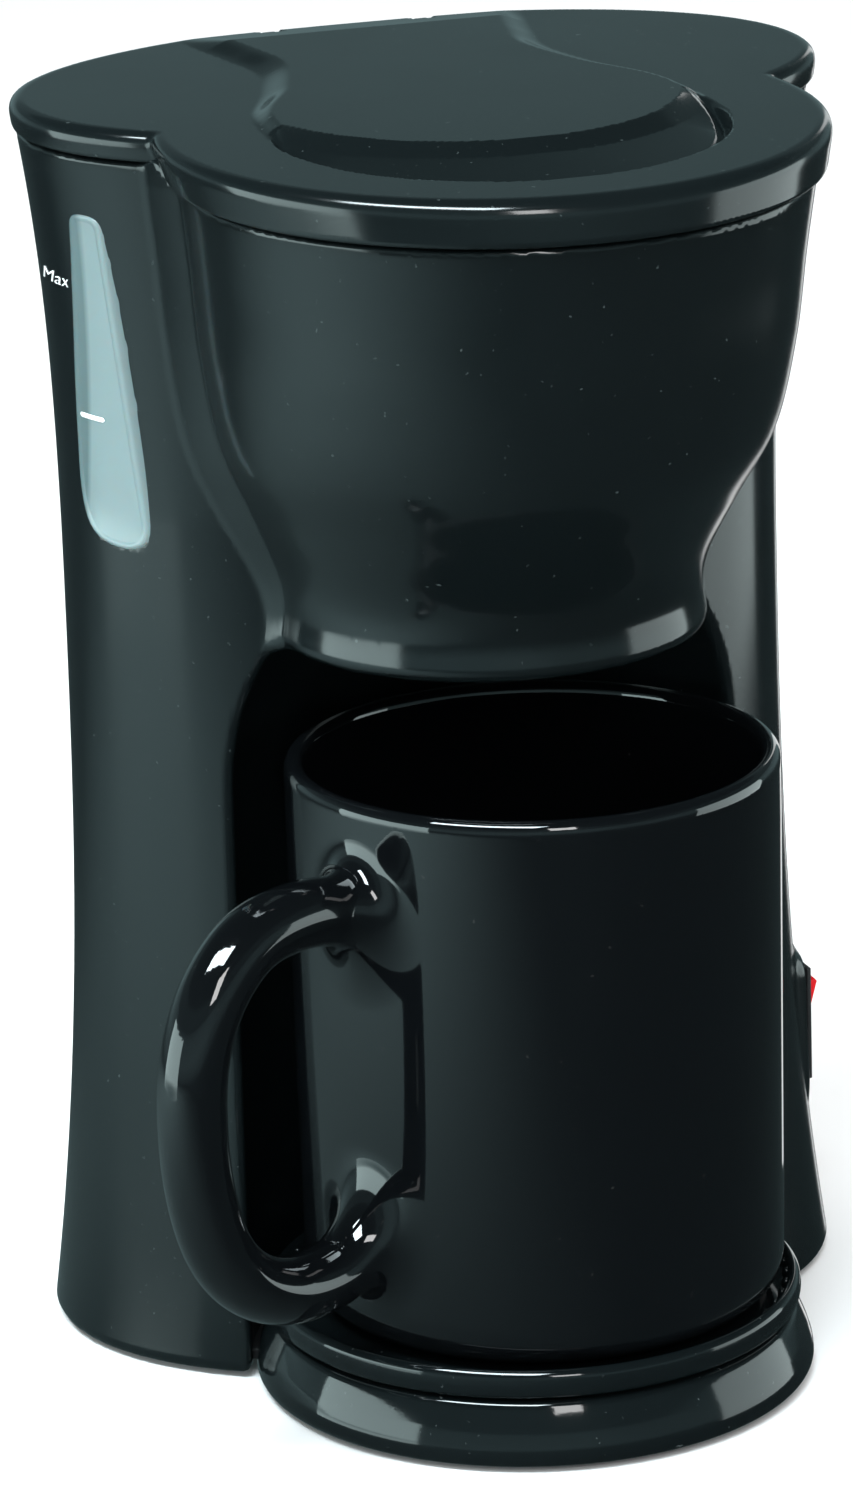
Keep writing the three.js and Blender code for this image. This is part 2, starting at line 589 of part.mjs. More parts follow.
const HOSE = { r: 6.4, bore: 5.3 };
const hoseStart = HEATER.right + 1.5;
const inletHose = tube([
  [hoseStart, HEATER.front, HEATER.tubeZ], [hoseStart + 11, HEATER.front, HEATER.tubeZ],
  [41, HEATER.front, 28], [NIPPLE.x, NIPPLE.y, 37], [NIPPLE.x, NIPPLE.y, 56], [NIPPLE.x, NIPPLE.y, 78],
], HOSE.r, { bore: HOSE.bore });
part('inlet_hose', inletHose, SILICONE);
const outletHose = tube([
  [hoseStart, HEATER.back, HEATER.tubeZ], [hoseStart + 9, HEATER.back, HEATER.tubeZ], [35.5, 80.4, 29.5],
  [36, 78, 38], [31, 75.2, 52], [RISER.x, RISER.y, 66], [RISER.x, RISER.y, 82], [RISER.x, RISER.y, 97]],
HOSE.r, { bore: HOSE.bore, steps: 14 });
part('outlet_hose', outletHose, SILICONE);

const CLAMPS = [['inlet_top', NIPPLE.x, NIPPLE.y, 70], ['outlet_top', RISER.x, RISER.y, 90]];
for (const [place, x, y, z] of CLAMPS) {
  part(`hose_clamp_${place}`, hoseClamp(HOSE.r + GAP).translate([x, y, z]), STEEL);
}

/** Spring band clamp with two squeeze tabs. */
function hoseClamp(inner) {
  const band = solid(ring(inner + 0.9, inner, 0, 4, 16));
  const tabs = [-1, 1].map((side) => {
    const x = side * 1.5;
    return solid(box(x - 0.4, x + 0.4, -inner - 5, -inner - 0.5, 0.5, 3.5));
  });
  return join(band, ...tabs);
}

// ---------------------------------------------------------------- heater
/** U-shaped route: two legs along X joined by a half turn on the left. */
function heaterPath(z, right) {
  const middle = (HEATER.front + HEATER.back) / 2;
  const radius = (HEATER.back - HEATER.front) / 2;
  const turn = [];
  for (let i = 0; i <= 8; i += 1) {
    const angle = -Math.PI / 2 - (i / 8) * Math.PI;
    turn.push([HEATER.left + radius * Math.cos(angle), middle + radius * Math.sin(angle), z]);
  }
  return [[right, HEATER.front, z], ...turn, [right, HEATER.back, z]].map((p) => new THREE.Vector3(...p));
}

/** Sweeps an outline (width across, height up) along the heater's U, with mitred corners. */
function sweepHeater(outline, z, right) {
  const points = heaterPath(z, right);
  const up = new THREE.Vector3(0, 0, 1);
  const rings = points.map((point, i) => {
    const before = points[Math.max(0, i - 1)];
    const after = points[Math.min(points.length - 1, i + 1)];
    const along = new THREE.Vector3().subVectors(after, before).normalize();
    const side = new THREE.Vector3().crossVectors(along, up);
    return outline.map(([w, h]) => point.clone().addScaledVector(side, w).addScaledVector(up, h));
  });
  return solid(loft(rings));
}

const roundOutline = (radius, sides) => circlePoints(radius, sides).map((p) => [p.x, p.y]);
const castingHeight = HEATER.tubeZ - HEATER.rodZ;
const castingRight = [[6, -4.6], [6.4, 0], [6, castingHeight + 3], [3.4, castingHeight + 6]];
const castingOutline = [...castingRight, ...castingRight.map(([w, h]) => [-w, h]).reverse()];
const casting = subtract(
  sweepHeater(castingOutline, HEATER.rodZ, HEATER.right),
  sweepHeater(roundOutline(3.55, 12), HEATER.rodZ, HEATER.right + 3),
  sweepHeater(roundOutline(4.85, 12), HEATER.tubeZ, HEATER.right + 3));
part('heater_casting', casting, ALUMINIUM);
const waterTube = subtract(
  sweepHeater(roundOutline(4.5, 12), HEATER.tubeZ, HEATER.right + 8.5),
  sweepHeater(roundOutline(3.4, 12), HEATER.tubeZ, HEATER.right + 12));
part('water_tube', waterTube, ALUMINIUM);
part('heating_element', sweepHeater(roundOutline(3.2, 12), HEATER.rodZ, HEATER.right + 7), STEEL);

const CASTING_TOP = HEATER.tubeZ + 6.4;
const SHEET = 1.2;
const HEATER_MIDDLE = (HEATER.front + HEATER.back) / 2;
for (const [place, x] of [['left', -14], ['right', 8]]) {
  part(`heater_bracket_${place}`, heaterBracket(x), STEEL);
  part(`heater_screw_${place}`, heaterScrew().translate(x, HEATER_MIDDLE, 0), STEEL);
}

/** Sheet-steel bridge that holds the casting down over its top. */
function heaterBracket(x) {
  const [low, high] = [CASTING_TOP, CASTING_TOP + SHEET];
  const bar = solid(box(x - 4, x + 4, HEATER.front - 8, HEATER.back + 8, low, high));
  const legs = [HEATER.front - 8, HEATER.back + 7].map((y) => solid(box(x - 4, x + 4, y, y + 1, 4, high)));
  return subtract(join(bar, ...legs), solid(post(1.9, x, HEATER_MIDDLE, low - 1, high + 1.8, 12)));
}

/** Screw through the bridge into the room between the casting's legs. */
function heaterScrew() {
  const seat = CASTING_TOP + SHEET + GAP;
  const head = [[3, seat], [3, seat + 1.2], [2, seat + 2], [0, seat + 2]];
  return turned([[0, 12], [1.5, 12], [1.5, seat], ...head], 12);
}

const thermostat = turned([[0, 0], [6.4, 0], [6.4, 3], [5.4, 3], [5.4, 8], [0, 8]], 20);
part('thermostat', thermostat.translate(-3, HEATER.front, CASTING_TOP), STEEL);
part('thermal_fuse', axle(2.2, -11, 5, HEATER_MIDDLE, 22, 12), WHITE);

// ---------------------------------------------------------------- switch
/** Square bezel and barrel with a well for the rocker. */
function buildSwitchBody() {
  const { x, y, z, width, height, barrelWidth, barrelHeight, barrelDepth, wellWidth, wellHeight } = SWITCH;
  const bezel = slab(x + GAP, x + 1.2, y, z, width, height);
  const barrel = slab(x - barrelDepth, x + 0.6, y, z, barrelWidth, barrelHeight);
  const well = slab(x - 4, x + 5, y, z, wellWidth, wellHeight);
  const pinHole = solid(barrelY(1, 11.4, x - SWITCH.pinDepth, y, z, 12));
  return subtract(join(bezel, barrel), well, pinHole);
}
part('switch_body', buildSwitchBody(), INNER);

/** Rocker, tipped so that its top half stands out. */
function buildRocker() {
  const { x, y, z, pinDepth } = SWITCH;
  const side = [[-7.4, 0.6], [-6, -0.8], [6, -0.8], [7.4, 3], [6.9, 3.4], [0, 1.5], [-6.9, 1.1]];
  const body = solid(prismX(side, -4.6, 4.6).applyMatrix4(FACING_X).translate(x, y, z));
  const hub = solid(barrelY(1.9, 9.2, x - pinDepth, y, z));
  const bore = solid(barrelY(0.9, 12, x - pinDepth, y, z, 12));
  return subtract(join(body, hub), bore);
}
part('switch_rocker', buildRocker(), RED);
part('rocker_pin', barrelY(0.6, 10.8, SWITCH.x - SWITCH.pinDepth, SWITCH.y, SWITCH.z, 12), STEEL);

const bladeEnd = SWITCH.x - SWITCH.barrelDepth - GAP;
for (const [i, dz] of [-6, 0, 6].entries()) {
  part(`switch_terminal_${i + 1}`, slab(bladeEnd - 6.65, bladeEnd, SWITCH.y, SWITCH.z + dz, 4.8, 0.8), BRASS);
}

// ---------------------------------------------------------------- mains parts
const glandBody = subtract(
  join(
    solid(barrelY(GLAND.r, 8, 0, GLAND.y, GLAND.z)),
    solid(barrelY(GLAND.flange, 1.6, 0, GLAND.y - 3.2, GLAND.z))),
  solid(barrelY(GLAND.bore, 20, 0, GLAND.y, GLAND.z)));
part('cord_gland', glandBody, RUBBER);

const block = subtract(solid(box(-48, -30, 52, 60, 58, 68)),
  solid(box(-46, -40, 50, 62, 60, 66)), solid(box(-38, -32, 50, 62, 60, 66)));
part('terminal_block', block, WHITE);

// The wires start and end just clear of what they are crimped to.
const WIRES = {
  wire_switched: [
    [SWITCH.x - 22.5, SWITCH.y, SWITCH.z + 6], [SWITCH.x - 26, SWITCH.y, SWITCH.z + 6.5],
    [28, 54, 55], [6, 56, 61], [-24, 57, 63], [-29, 57, 63]],
  wire_heater: [
    [HEATER.right + 7.5, HEATER.front, HEATER.rodZ], [HEATER.right + 11, HEATER.front, HEATER.rodZ],
    [34, 55, 18], [36, 48, 30],
    [SWITCH.x - 26, SWITCH.y, SWITCH.z - 6], [SWITCH.x - 22.5, SWITCH.y, SWITCH.z - 6]],
};
for (const [name, route] of Object.entries(WIRES)) {
  part(name, tube(route, 1.1, { sides: 6, steps: 14 }), RED);
}

// ---------------------------------------------------------------- mug
const HANDLE_ROUTE = [
  [38, 90], [45, 94], [55, 96.2], [66, 94.6], [74.5, 87.5], [79, 77.5], [80, 66], [78.8, 54],
  [75.3, 43.5], [69, 36], [60, 31.9], [50, 32], [43, 35.5], [38, 39.5],
];

/** Turned cup, its wall and floor a solid of revolution. */
function buildCup() {
  const [inner, rimOut, rimIn] = [MUG_R - MUG_WALL, MUG_R - 1, MUG_R - 2.4];
  const footRing = [[0, MUG_Z + 0.8], [29.4, MUG_Z + 0.8], [30, MUG_Z], [33, MUG_Z], [36.8, MUG_Z + 0.8]];
  const outside = [[39.3, MUG_Z + 2.4], [41.1, MUG_Z + 6], [41.5, 40], [MUG_R - 0.1, 100]];
  const rim = [[MUG_R, MUG_TOP - 1.4], [rimOut, MUG_TOP], [rimIn, MUG_TOP], [inner, MUG_TOP - 1.6]];
  const hollow = [[inner - 0.3, 30], [35, 22], [30, 20], [0, 19.6]];
  return solid(turned([...footRing, ...outside, ...rim, ...hollow], 32));
}

/** Round handle with a swelling where it meets the cup at each end. */
function buildHandle() {
  const angle = THREE.MathUtils.degToRad(HANDLE_ANGLE);
  const place = ([r, z]) => [-r * Math.sin(angle), -r * Math.cos(angle), z];
  const grip = solid(tube(HANDLE_ROUTE.map(place), HANDLE_R, { sides: 12, steps: 22 }));
  const roots = [[41.5, 91.5], [41.5, 38]].map((root) => solid(
    new THREE.SphereGeometry(8.6, 12, 8).scale(1, 1, 1.05).translate(...place(root))));
  return join(grip, ...roots);
}

function buildMug() {
  const cavity = solid(turned([[0, 21], [28, 21], [34.5, 26], [37, 40], [37.4, 100], [0, 100]], 20));
  return join(buildCup(), subtract(buildHandle(), cavity)).translate([MUG_X, MUG_Y, 0]);
}
part('mug', buildMug(), CERAMIC);

// ---------------------------------------------------------------- place the whole on its box
const whole = new THREE.Box3().setFromObject(machine);
machine.position.set(-(whole.min.x + whole.max.x) / 2, -(whole.min.y + whole.max.y) / 2, -whole.min.z);

const drip_coffee_maker = new THREE.Group();
drip_coffee_maker.add(machine);

export default drip_coffee_maker;
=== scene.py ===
"""The looks of the single-mug drip coffee maker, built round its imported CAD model.

Shapes are written in millimetres in the shell frame: the mug ring's axis is x = y = 0 and the
shells' lower edge is z = 0. to_row() takes them into the row frame, in metres.
"""
import json
import math

import bmesh
import bpy
import numpy as np
from mathutils import Matrix, Vector


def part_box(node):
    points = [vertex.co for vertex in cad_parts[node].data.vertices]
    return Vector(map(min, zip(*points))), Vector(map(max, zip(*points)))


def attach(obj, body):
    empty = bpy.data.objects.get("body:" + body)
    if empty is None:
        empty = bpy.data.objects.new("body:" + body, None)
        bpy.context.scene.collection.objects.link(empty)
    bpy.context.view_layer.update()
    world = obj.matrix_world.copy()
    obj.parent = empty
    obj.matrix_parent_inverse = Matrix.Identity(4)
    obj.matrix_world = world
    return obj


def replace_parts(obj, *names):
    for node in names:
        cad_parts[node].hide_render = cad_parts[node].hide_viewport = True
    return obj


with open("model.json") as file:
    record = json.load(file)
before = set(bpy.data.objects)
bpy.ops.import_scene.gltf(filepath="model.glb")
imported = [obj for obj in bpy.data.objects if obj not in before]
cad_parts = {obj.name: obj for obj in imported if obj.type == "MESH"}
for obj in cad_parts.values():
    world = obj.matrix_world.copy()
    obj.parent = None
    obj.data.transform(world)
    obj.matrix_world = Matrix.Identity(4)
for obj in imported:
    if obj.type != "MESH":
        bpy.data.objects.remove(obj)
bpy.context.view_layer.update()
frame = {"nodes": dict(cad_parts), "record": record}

MM = 0.001
RING_LOW, RING_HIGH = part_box("mug_ring")
FOOT_LOW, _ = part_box("foot_front_left")
FOOT_LIFT = 1.0
ORIGIN = np.array([
    (RING_LOW.x + RING_HIGH.x) / 2,
    (RING_LOW.y + RING_HIGH.y) / 2,
    FOOT_LOW.z + FOOT_LIFT * MM,
])


def to_row(points):
    """Shell-frame millimetres to row-frame metres."""
    return np.asarray(points, float) * MM + ORIGIN


# ---------------------------------------------------------------- dimensions, as in part.mjs
WALL = 2.4
GAP = 0.35
TOWER_POWER = 2.08
TOWER_Y, TOWER_TOP_SHIFT, TOWER_SHIFT_Z = 49.4, 3.1, 150
WAIST_WIDTH, WAIST_Z = 63.9, 130
FOOT_FLARE, TOP_FLARE, FLARE_POWER = 7.4, 5, 2.6
BACK_WAIST, BACK_WAIST_Z = 40.6, 165
BACK_FOOT_FLARE, BACK_FOOT_POWER, BACK_TOP_FLARE = 9, 1.9, 1.2
SEAM_Z, SEAM_SLOPE = 209.8, 0.032
WING_STEP = 2.6
LID_HEIGHT = 8
LID_FRONT_R, LID_FRONT_Y, LID_FRONT_FLARE, LID_FRONT_DRAW = 54.4, 3.9, 2.5, 3.1
LID_BACK_WIDTH, LID_BACK_DEPTH, LID_BACK_Y, LID_BACK_FLARE = 69.9, 41.9, 45.4, 1.2
HINGE_X, HINGE_Y, HINGE_Z = 14, 84.8, 218.3
FUNNEL_Z, FUNNEL_TOP_R, FUNNEL_Y, FUNNEL_SHIFT = 129.3, 52.8, 3.4, 0.68
FUNNEL_PROFILE = [
    (37.4, 129.3), (36.6, 136), (37.6, 143), (41.9, 154), (46.9, 166), (49.7, 181), (51.2, 196),
    (52.8, 209.8)]
NICHE_R = 49
RESERVOIR_Z = 106
MUG_X, MUG_Y, MUG_R, MUG_Z, MUG_TOP, MUG_WALL = 1.05, -3.3, 42, 14.9, 112.1, 3.6
HANDLE_ANGLE = math.radians(64)
HANDLE_R = 5.75
HANDLE_ROUTE = [
    (36, 88), (45, 94), (55, 96.2), (66, 94.6), (74.5, 87.5), (79, 77.5), (80, 66), (78.8, 54),
    (75.3, 43.5), (69, 36), (60, 31.9), (50, 32), (43, 35.5), (36, 40.5)]
SWITCH_X, SWITCH_Y, SWITCH_Z = 65.9, 45.1, 40
LAND_ROOT_X, LAND_HALF_WIDTH, LAND_HALF_HEIGHT = 54, 9.7, 13.5
SWITCH_HOLE_HALF_WIDTH, SWITCH_HOLE_HALF_HEIGHT = 6.6, 9.6
# Upright round holes: x, y and radius.
NOZZLE_HOLE, RISER_HOLE, NIPPLE_HOLE = (0, 5, 4.4), (26, 74, 5.2), (44, 63, 4.0)
GLAND_Z, GLAND_HOLE_R = 14, 4.95
# Where the wall openings end inside the shell.
GAUGE_CUT_X, SWITCH_CUT_X, GLAND_CUT_Y = -45, 50, 84
# The slot for the spout: its corners, and the slanted line that its middle follows.
SPOUT_SLOT_LOW, SPOUT_SLOT_HIGH = (2, 12, 199.4), (24, 62, 210)
SPOUT_START_X, SPOUT_START_Y, SPOUT_SLOPE, SPOUT_SLOT_HALF_WIDTH = 4, 10, 0.33, 4.6
GAUGE = [(27.8, 144.2), (38.2, 145.2), (42.0, 152), (40.6, 172), (35.2, 199), (34.2, 203),
         (28.6, 202.8)]
GAUGE_ROUNDING = [5, 6, 8, 9, 3, 2.4, 2.4]
GAUGE_LEDGE, GAUGE_HOLE_ROUNDING = 1.1, 3.2


# ---------------------------------------------------------------- curves and field helpers
def spline(points, steps=12):
    """Points along a Catmull-Rom curve through the given ones."""
    p = np.array([points[0], *points, points[-1]], float)
    out = []
    for a, b, c, d in zip(p, p[1:], p[2:], p[3:]):
        for t in np.arange(steps) / steps:
            line = 2 * b + (c - a) * t
            bend = (2 * a - 5 * b + 4 * c - d) * t ** 2 + (3 * b - a - 3 * c + d) * t ** 3
            out.append((line + bend) / 2)
    return np.array([*out, p[-1]])


def smooth_min(a, b, k):
    """Union of two fields with a fillet about k wide."""
    h = np.maximum(k - np.abs(a - b), 0) / k
    return np.minimum(a, b) - h * h * k / 4


def bevelled_min(a, b, width):
    """Joins two fields with a flat strip between them, its two creases softly rounded."""
    strip = (a + b - width) * math.sqrt(0.5)
    return smooth_min(smooth_min(a, b, 0.3), strip, 0.7)


def smooth_max(a, b, k):
    """Intersection of two fields with an edge rounded over about k."""
    return -smooth_min(-a, -b, k)


def ramp(value, width):
    """0 at value <= 0, 1 at value >= width, eased at both ends."""
    t = np.clip(value / width, 0, 1)
    return t * t * (3 - 2 * t)


def oval(x, y, width, depth, centre):
    """Distance to a superellipse, negative inside."""
    u = np.abs(x) / width + 1e-6
    v = np.abs(y - centre) / depth + 1e-6
    q = (u ** TOWER_POWER + v ** TOWER_POWER) ** (1 / TOWER_POWER)
    slope = np.hypot(u ** (TOWER_POWER - 1) / width, v ** (TOWER_POWER - 1) / depth)
    return (q - 1) / (slope * q ** (1 - TOWER_POWER))


def block(x, y, z, low, high):
    """Box field between two corners."""
    centre = (np.array(low) + np.array(high)) / 2
    half = (np.array(high) - np.array(low)) / 2
    dx, dy, dz = (np.abs(v - c) - h for v, c, h in zip((x, y, z), centre, half))
    return np.maximum(np.maximum(dx, dy), dz)


def upright(x, y, radius, cx=0.0, cy=0.0):
    """Field of an endless upright cylinder."""
    return np.hypot(x - cx, y - cy) - radius


def round_hole(x, y, hole):
    """Field of an endless upright hole, given as its x, y and radius."""
    return upright(x, y, hole[2], hole[0], hole[1])


def polygon(u, v, corners, rounding):
    """Distance to a closed convex outline with rounded corners, negative inside."""
    far = np.full(np.broadcast(u, v).shape, -1e9)
    ring = [*corners, corners[0]]
    for (u0, v0), (u1, v1) in zip(ring, ring[1:]):
        length = math.hypot(u1 - u0, v1 - v0)
        side = ((u - u0) * (v1 - v0) - (v - v0) * (u1 - u0)) / length
        far = smooth_max(far, side, rounding)
    return far


# ---------------------------------------------------------------- fields to meshes
def slabs(field, axes):
    """The field's values over a grid, worked out one level at a time."""
    x, y = np.meshgrid(axes[0], axes[1], indexing="ij")
    return np.stack([field(x, y, np.full_like(x, z)) for z in axes[2]], axis=2)


def gradient(field, p, step=0.04):
    """Slope of the field at each point."""
    out = np.empty_like(p)
    for axis in range(3):
        ahead, behind = p.copy(), p.copy()
        ahead[:, axis] += step
        behind[:, axis] -= step
        out[:, axis] = (field(*ahead.T) - field(*behind.T)) / (2 * step)
    return out


def settle(field, points, reach, rounds=3):
    """Moves points onto the field's surface."""
    for _ in range(rounds):
        slope = gradient(field, points)
        size = np.maximum((slope ** 2).sum(1), 0.05)
        move = slope * (field(*points.T) / size)[:, None]
        length = np.maximum(np.linalg.norm(move, axis=1), 1e-9)
        points = points - move * np.minimum(1, reach / length)[:, None]
    return points


CELL_CORNERS = np.array([(i, j, k) for i in (0, 1) for j in (0, 1) for k in (0, 1)])
CELL_EDGES = [(a, b) for a in range(8) for b in range(a + 1, 8)
              if np.abs(CELL_CORNERS[a] - CELL_CORNERS[b]).sum() == 1]


def cell_points(values, cells):
    """One point in each cell that the surface crosses, in grid steps."""
    corner = [values[tuple((cells + c).T)] for c in CELL_CORNERS]
    total = np.zeros((len(cells), 3))
    count = np.zeros(len(cells))
    for a, b in CELL_EDGES:
        crossed = (corner[a] < 0) != (corner[b] < 0)
        gap = np.where(crossed, corner[a] - corner[b], 1)
        t = np.where(crossed, corner[a] / gap, 0)
        spot = CELL_CORNERS[a] + t[:, None] * (CELL_CORNERS[b] - CELL_CORNERS[a])
        total += np.where(crossed[:, None], spot, 0)
        count += crossed
    return cells + total / np.maximum(count, 1)[:, None]


def cell_faces(values, number):
    """A quad round each grid edge that the surface crosses, facing outwards."""
    inside = values < 0
    quads = []
    for axis in range(3):
        u, v = (axis + 1) % 3, (axis + 2) % 3
        near = [slice(1, -1)] * 3
        near[axis] = slice(0, -1)
        ahead = [slice(1, -1)] * 3
        ahead[axis] = slice(1, None)
        a, b = inside[tuple(near)], inside[tuple(ahead)]
        at = np.argwhere(a != b) + 1
        at[:, axis] -= 1
        flip = ~inside[tuple(at.T)]
        du, dv = np.zeros(3, int), np.zeros(3, int)
        du[u], dv[v] = 1, 1
        quad = np.stack([number[tuple(c.T)] for c in (at - du - dv, at - dv, at, at - du)], axis=1)
        quad[flip] = quad[flip][:, ::-1]
        quads.append(quad)
    return np.concatenate(quads)


def surface(field, low, high, cell):
    """Closed quad mesh of the field's zero surface, with its exact normals."""
    axes = [np.arange(a - 1.5 * cell, b + 2.5 * cell, cell) for a, b in zip(low, high)]
    values = slabs(field, axes)
    inside = (values < 0).astype(np.int8)
    corners = sum(inside[i:inside.shape[0] - 1 + i, j:inside.shape[1] - 1 + j,
                         k:inside.shape[2] - 1 + k] for i, j, k in CELL_CORNERS)
    cells = np.argwhere((corners > 0) & (corners < 8))
    number = np.full(corners.shape, -1)
    number[tuple(cells.T)] = np.arange(len(cells))
    quads = cell_faces(values, number)
    start = np.array([a[0] for a in axes])
    points = start + cell_points(values, cells) * cell
    points = settle(field, points, cell * 0.6)
    for _ in range(2):
        points = settle(field, relax(points, quads), cell * 0.4, 2)
    return points, quads, gradient(field, points)


def relax(points, quads):
    """Moves each point halfway to the middle of its faces, which evens the quads out."""
    middle = points[quads].mean(1)
    total = np.zeros_like(points)
    count = np.zeros(len(points))
    for corner in range(4):
        np.add.at(total, quads[:, corner], middle)
        np.add.at(count, quads[:, corner], 1)
    return points * 0.5 + total / np.maximum(count, 1)[:, None] * 0.5


def mesh_piece(name, points, faces, body, material, normals=None):
    """A new piece from shell-frame points, riding on its body."""
    mesh = bpy.data.meshes.new(name)
    mesh.from_pydata(to_row(points), [], [tuple(f) for f in faces])
    mesh.polygons.foreach_set("use_smooth", [True] * len(mesh.polygons))
    mesh.validate()
    if normals is not None:
        length = np.maximum(np.linalg.norm(normals, axis=1), 1e-9)
        mesh.normals_split_custom_set_from_vertices(normals / length[:, None])
    piece = bpy.data.objects.new(name, mesh)
    bpy.context.scene.collection.objects.link(piece)
    mesh.materials.append(material)
    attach(piece, body)
    return piece


def field_piece(name, field, low, high, cell, body, material):
    """A new piece from a field."""
    points, quads, normals = surface(field, low, high, cell)
    return mesh_piece(name, points, quads, body, material, normals)


# ---------------------------------------------------------------- materials
def new_material(name, color, roughness, **sockets):
    """Principled material with its uniform values set on the shader's own sockets."""
    material = bpy.data.materials.new(name)
    material.use_nodes = True
    shader = material.node_tree.nodes["Principled BSDF"]
    shader.inputs["Base Color"].default_value = (*color, 1)
    shader.inputs["Roughness"].default_value = roughness
    for socket, value in sockets.items():
        shader.inputs[socket.replace("_", " ")].default_value = value
    return material


def add_node(owner, kind, **inputs):
    """New shader node in a material or world, with its inputs set by name."""
    node = owner.node_tree.nodes.new(kind)
    for name, value in inputs.items():
        node.inputs[name.replace("_", " ")].default_value = value
    return node


def add_mix(owner, factor, first=None, second=None):
    """Colour mix node driven by a factor, with either colour given or left for a link."""
    mix = add_node(owner, "ShaderNodeMix")
    mix.data_type = "RGBA"
    owner.node_tree.links.new(factor, mix.inputs[0])
    for index, color in ((6, first), (7, second)):
        if color is not None:
            mix.inputs[index].default_value = (*color, 1)
    return mix


def noise(material, scale, detail=3.0, stretch=(1, 1, 1)):
    """Noise over the object's own coordinates, in metres."""
    where = add_node(material, "ShaderNodeTexCoord")
    mapping = add_node(material, "ShaderNodeMapping", Scale=stretch)
    texture = add_node(material, "ShaderNodeTexNoise", Scale=scale, Detail=detail)
    links = material.node_tree.links
    links.new(where.outputs["Object"], mapping.inputs["Vector"])
    links.new(mapping.outputs["Vector"], texture.inputs["Vector"])
    return texture.outputs["Fac"]


def remap(material, value, low, high, to_low, to_high):
    """Maps a value's range to another, clamped."""
    node = add_node(material, "ShaderNodeMapRange", From_Min=low, From_Max=high,
                    To_Min=to_low, To_Max=to_high)
    material.node_tree.links.new(value, node.inputs["Value"])
    return node.outputs["Result"]


def shade(material, value, dark, light):
    """Blends two colours by a value."""
    return add_mix(material, value, dark, light).outputs[2]


def into(material, socket, output):
    """Links an output to one of the main shader's sockets."""
    shader = material.node_tree.nodes["Principled BSDF"]
    material.node_tree.links.new(output, shader.inputs[socket])


def bump(material, heights, distance=0.0002):
    """Stacks bumps, each a (value, strength) pair."""
    links = material.node_tree.links
    last = None
    for value, strength in heights:
        node = add_node(material, "ShaderNodeBump", Strength=strength, Distance=distance)
        links.new(value, node.inputs["Height"])
        if last is not None:
            links.new(last, node.inputs["Normal"])
        last = node.outputs["Normal"]
    into(material, "Normal", last)


def moulded(name, dark, light, smooth, rough, grain=0.05, **sockets):
    """Moulded plastic: slow waves in the skin, fine grain, handling marks and dust specks."""
    material = new_material(name, dark, smooth, **sockets)
    marks = remap(material, noise(material, 38, 6, (1, 1, 0.35)), 0.42, 0.75, smooth, rough)
    into(material, "Roughness", marks)
    specks = remap(material, noise(material, 900, 2), 0.72, 0.78, 0, 1)
    into(material, "Base Color", shade(material, specks, dark, light))
    bump(material, [(noise(material, 22, 1), grain), (noise(material, 1400, 2), grain * 0.5)])
    return material


def metal(name, color, smooth, rough, stretch=(1, 1, 18)):
    """Metal with drawn or brushed streaks and a little stain."""
    material = new_material(name, color, smooth, Metallic=1.0)
    streaks = noise(material, 260, 4, stretch)
    into(material, "Roughness", remap(material, streaks, 0.3, 0.7, smooth, rough))
    stain = remap(material, noise(material, 60, 5), 0.45, 0.7, 0, 1)
    dull = tuple(c * 0.72 for c in color)
    into(material, "Base Color", shade(material, stain, color, dull))
    bump(material, [(streaks, 0.06)])
    return material


def soft(name, color, roughness, grain=0.25, cloudy=0.35, **sockets):
    """Rubber, silicone and fibre: cloudy colour and a fine open grain."""
    material = new_material(name, color, roughness, **sockets)
    cloud = remap(material, noise(material, 80, 4), 0.35, 0.7, 0, 1)
    pale = tuple(min(1, c * (1 + cloudy) + 0.01) for c in color)
    into(material, "Base Color", shade(material, cloud, color, pale))
    into(material, "Roughness", remap(material, cloud, 0, 1, roughness, roughness * 0.8))
    bump(material, [(noise(material, 1600, 3), grain)])
    return material


SHELL = moulded("shell_plastic", (0.0035, 0.0055, 0.006), (0.035, 0.045, 0.045), 0.13, 0.19,
                0.035, Specular_IOR_Level=0.5)
GLOSS = moulded("polished_plastic", (0.003, 0.0045, 0.005), (0.05, 0.06, 0.06), 0.06, 0.12, 0.03)
INNER = moulded("inner_plastic", (0.018, 0.019, 0.02), (0.05, 0.05, 0.05), 0.34, 0.5, 0.1)
GLAZE = moulded("black_glaze", (0.002, 0.0025, 0.003), (0.015, 0.015, 0.015), 0.04, 0.07, 0.025,
                Coat_Weight=0.25, Coat_Roughness=0.03)
RED = moulded("red_plastic", (0.62, 0.008, 0.012), (0.75, 0.05, 0.05), 0.16, 0.24, 0.04)
STEEL = metal("plated_steel", (0.56, 0.57, 0.58), 0.2, 0.38)
ALUMINIUM = metal("cast_aluminium", (0.6, 0.61, 0.62), 0.34, 0.55, (1, 1, 1))
BRASS = metal("brass", (0.72, 0.55, 0.24), 0.22, 0.4)
RUBBER = soft("black_rubber", (0.014, 0.014, 0.014), 0.7)
SILICONE = soft("silicone", (0.66, 0.68, 0.66), 0.42, 0.08, Subsurface_Weight=0.3,
                Subsurface_Scale=0.002)
WHITE = soft("white_insulation", (0.72, 0.69, 0.62), 0.6)


# The gauge's rear edge runs where y + slope * z is this, in metres in the frame.
REAR_EDGE_SLOPE = 0.142
REAR_EDGE = (42.0 + REAR_EDGE_SLOPE * 152) * MM + ORIGIN[1] + REAR_EDGE_SLOPE * ORIGIN[2]
# Where the painted shade begins before the rear edge, and where it is full.
REAR_SHADE_START, REAR_SHADE_END = 3.2 * MM, 2.0 * MM


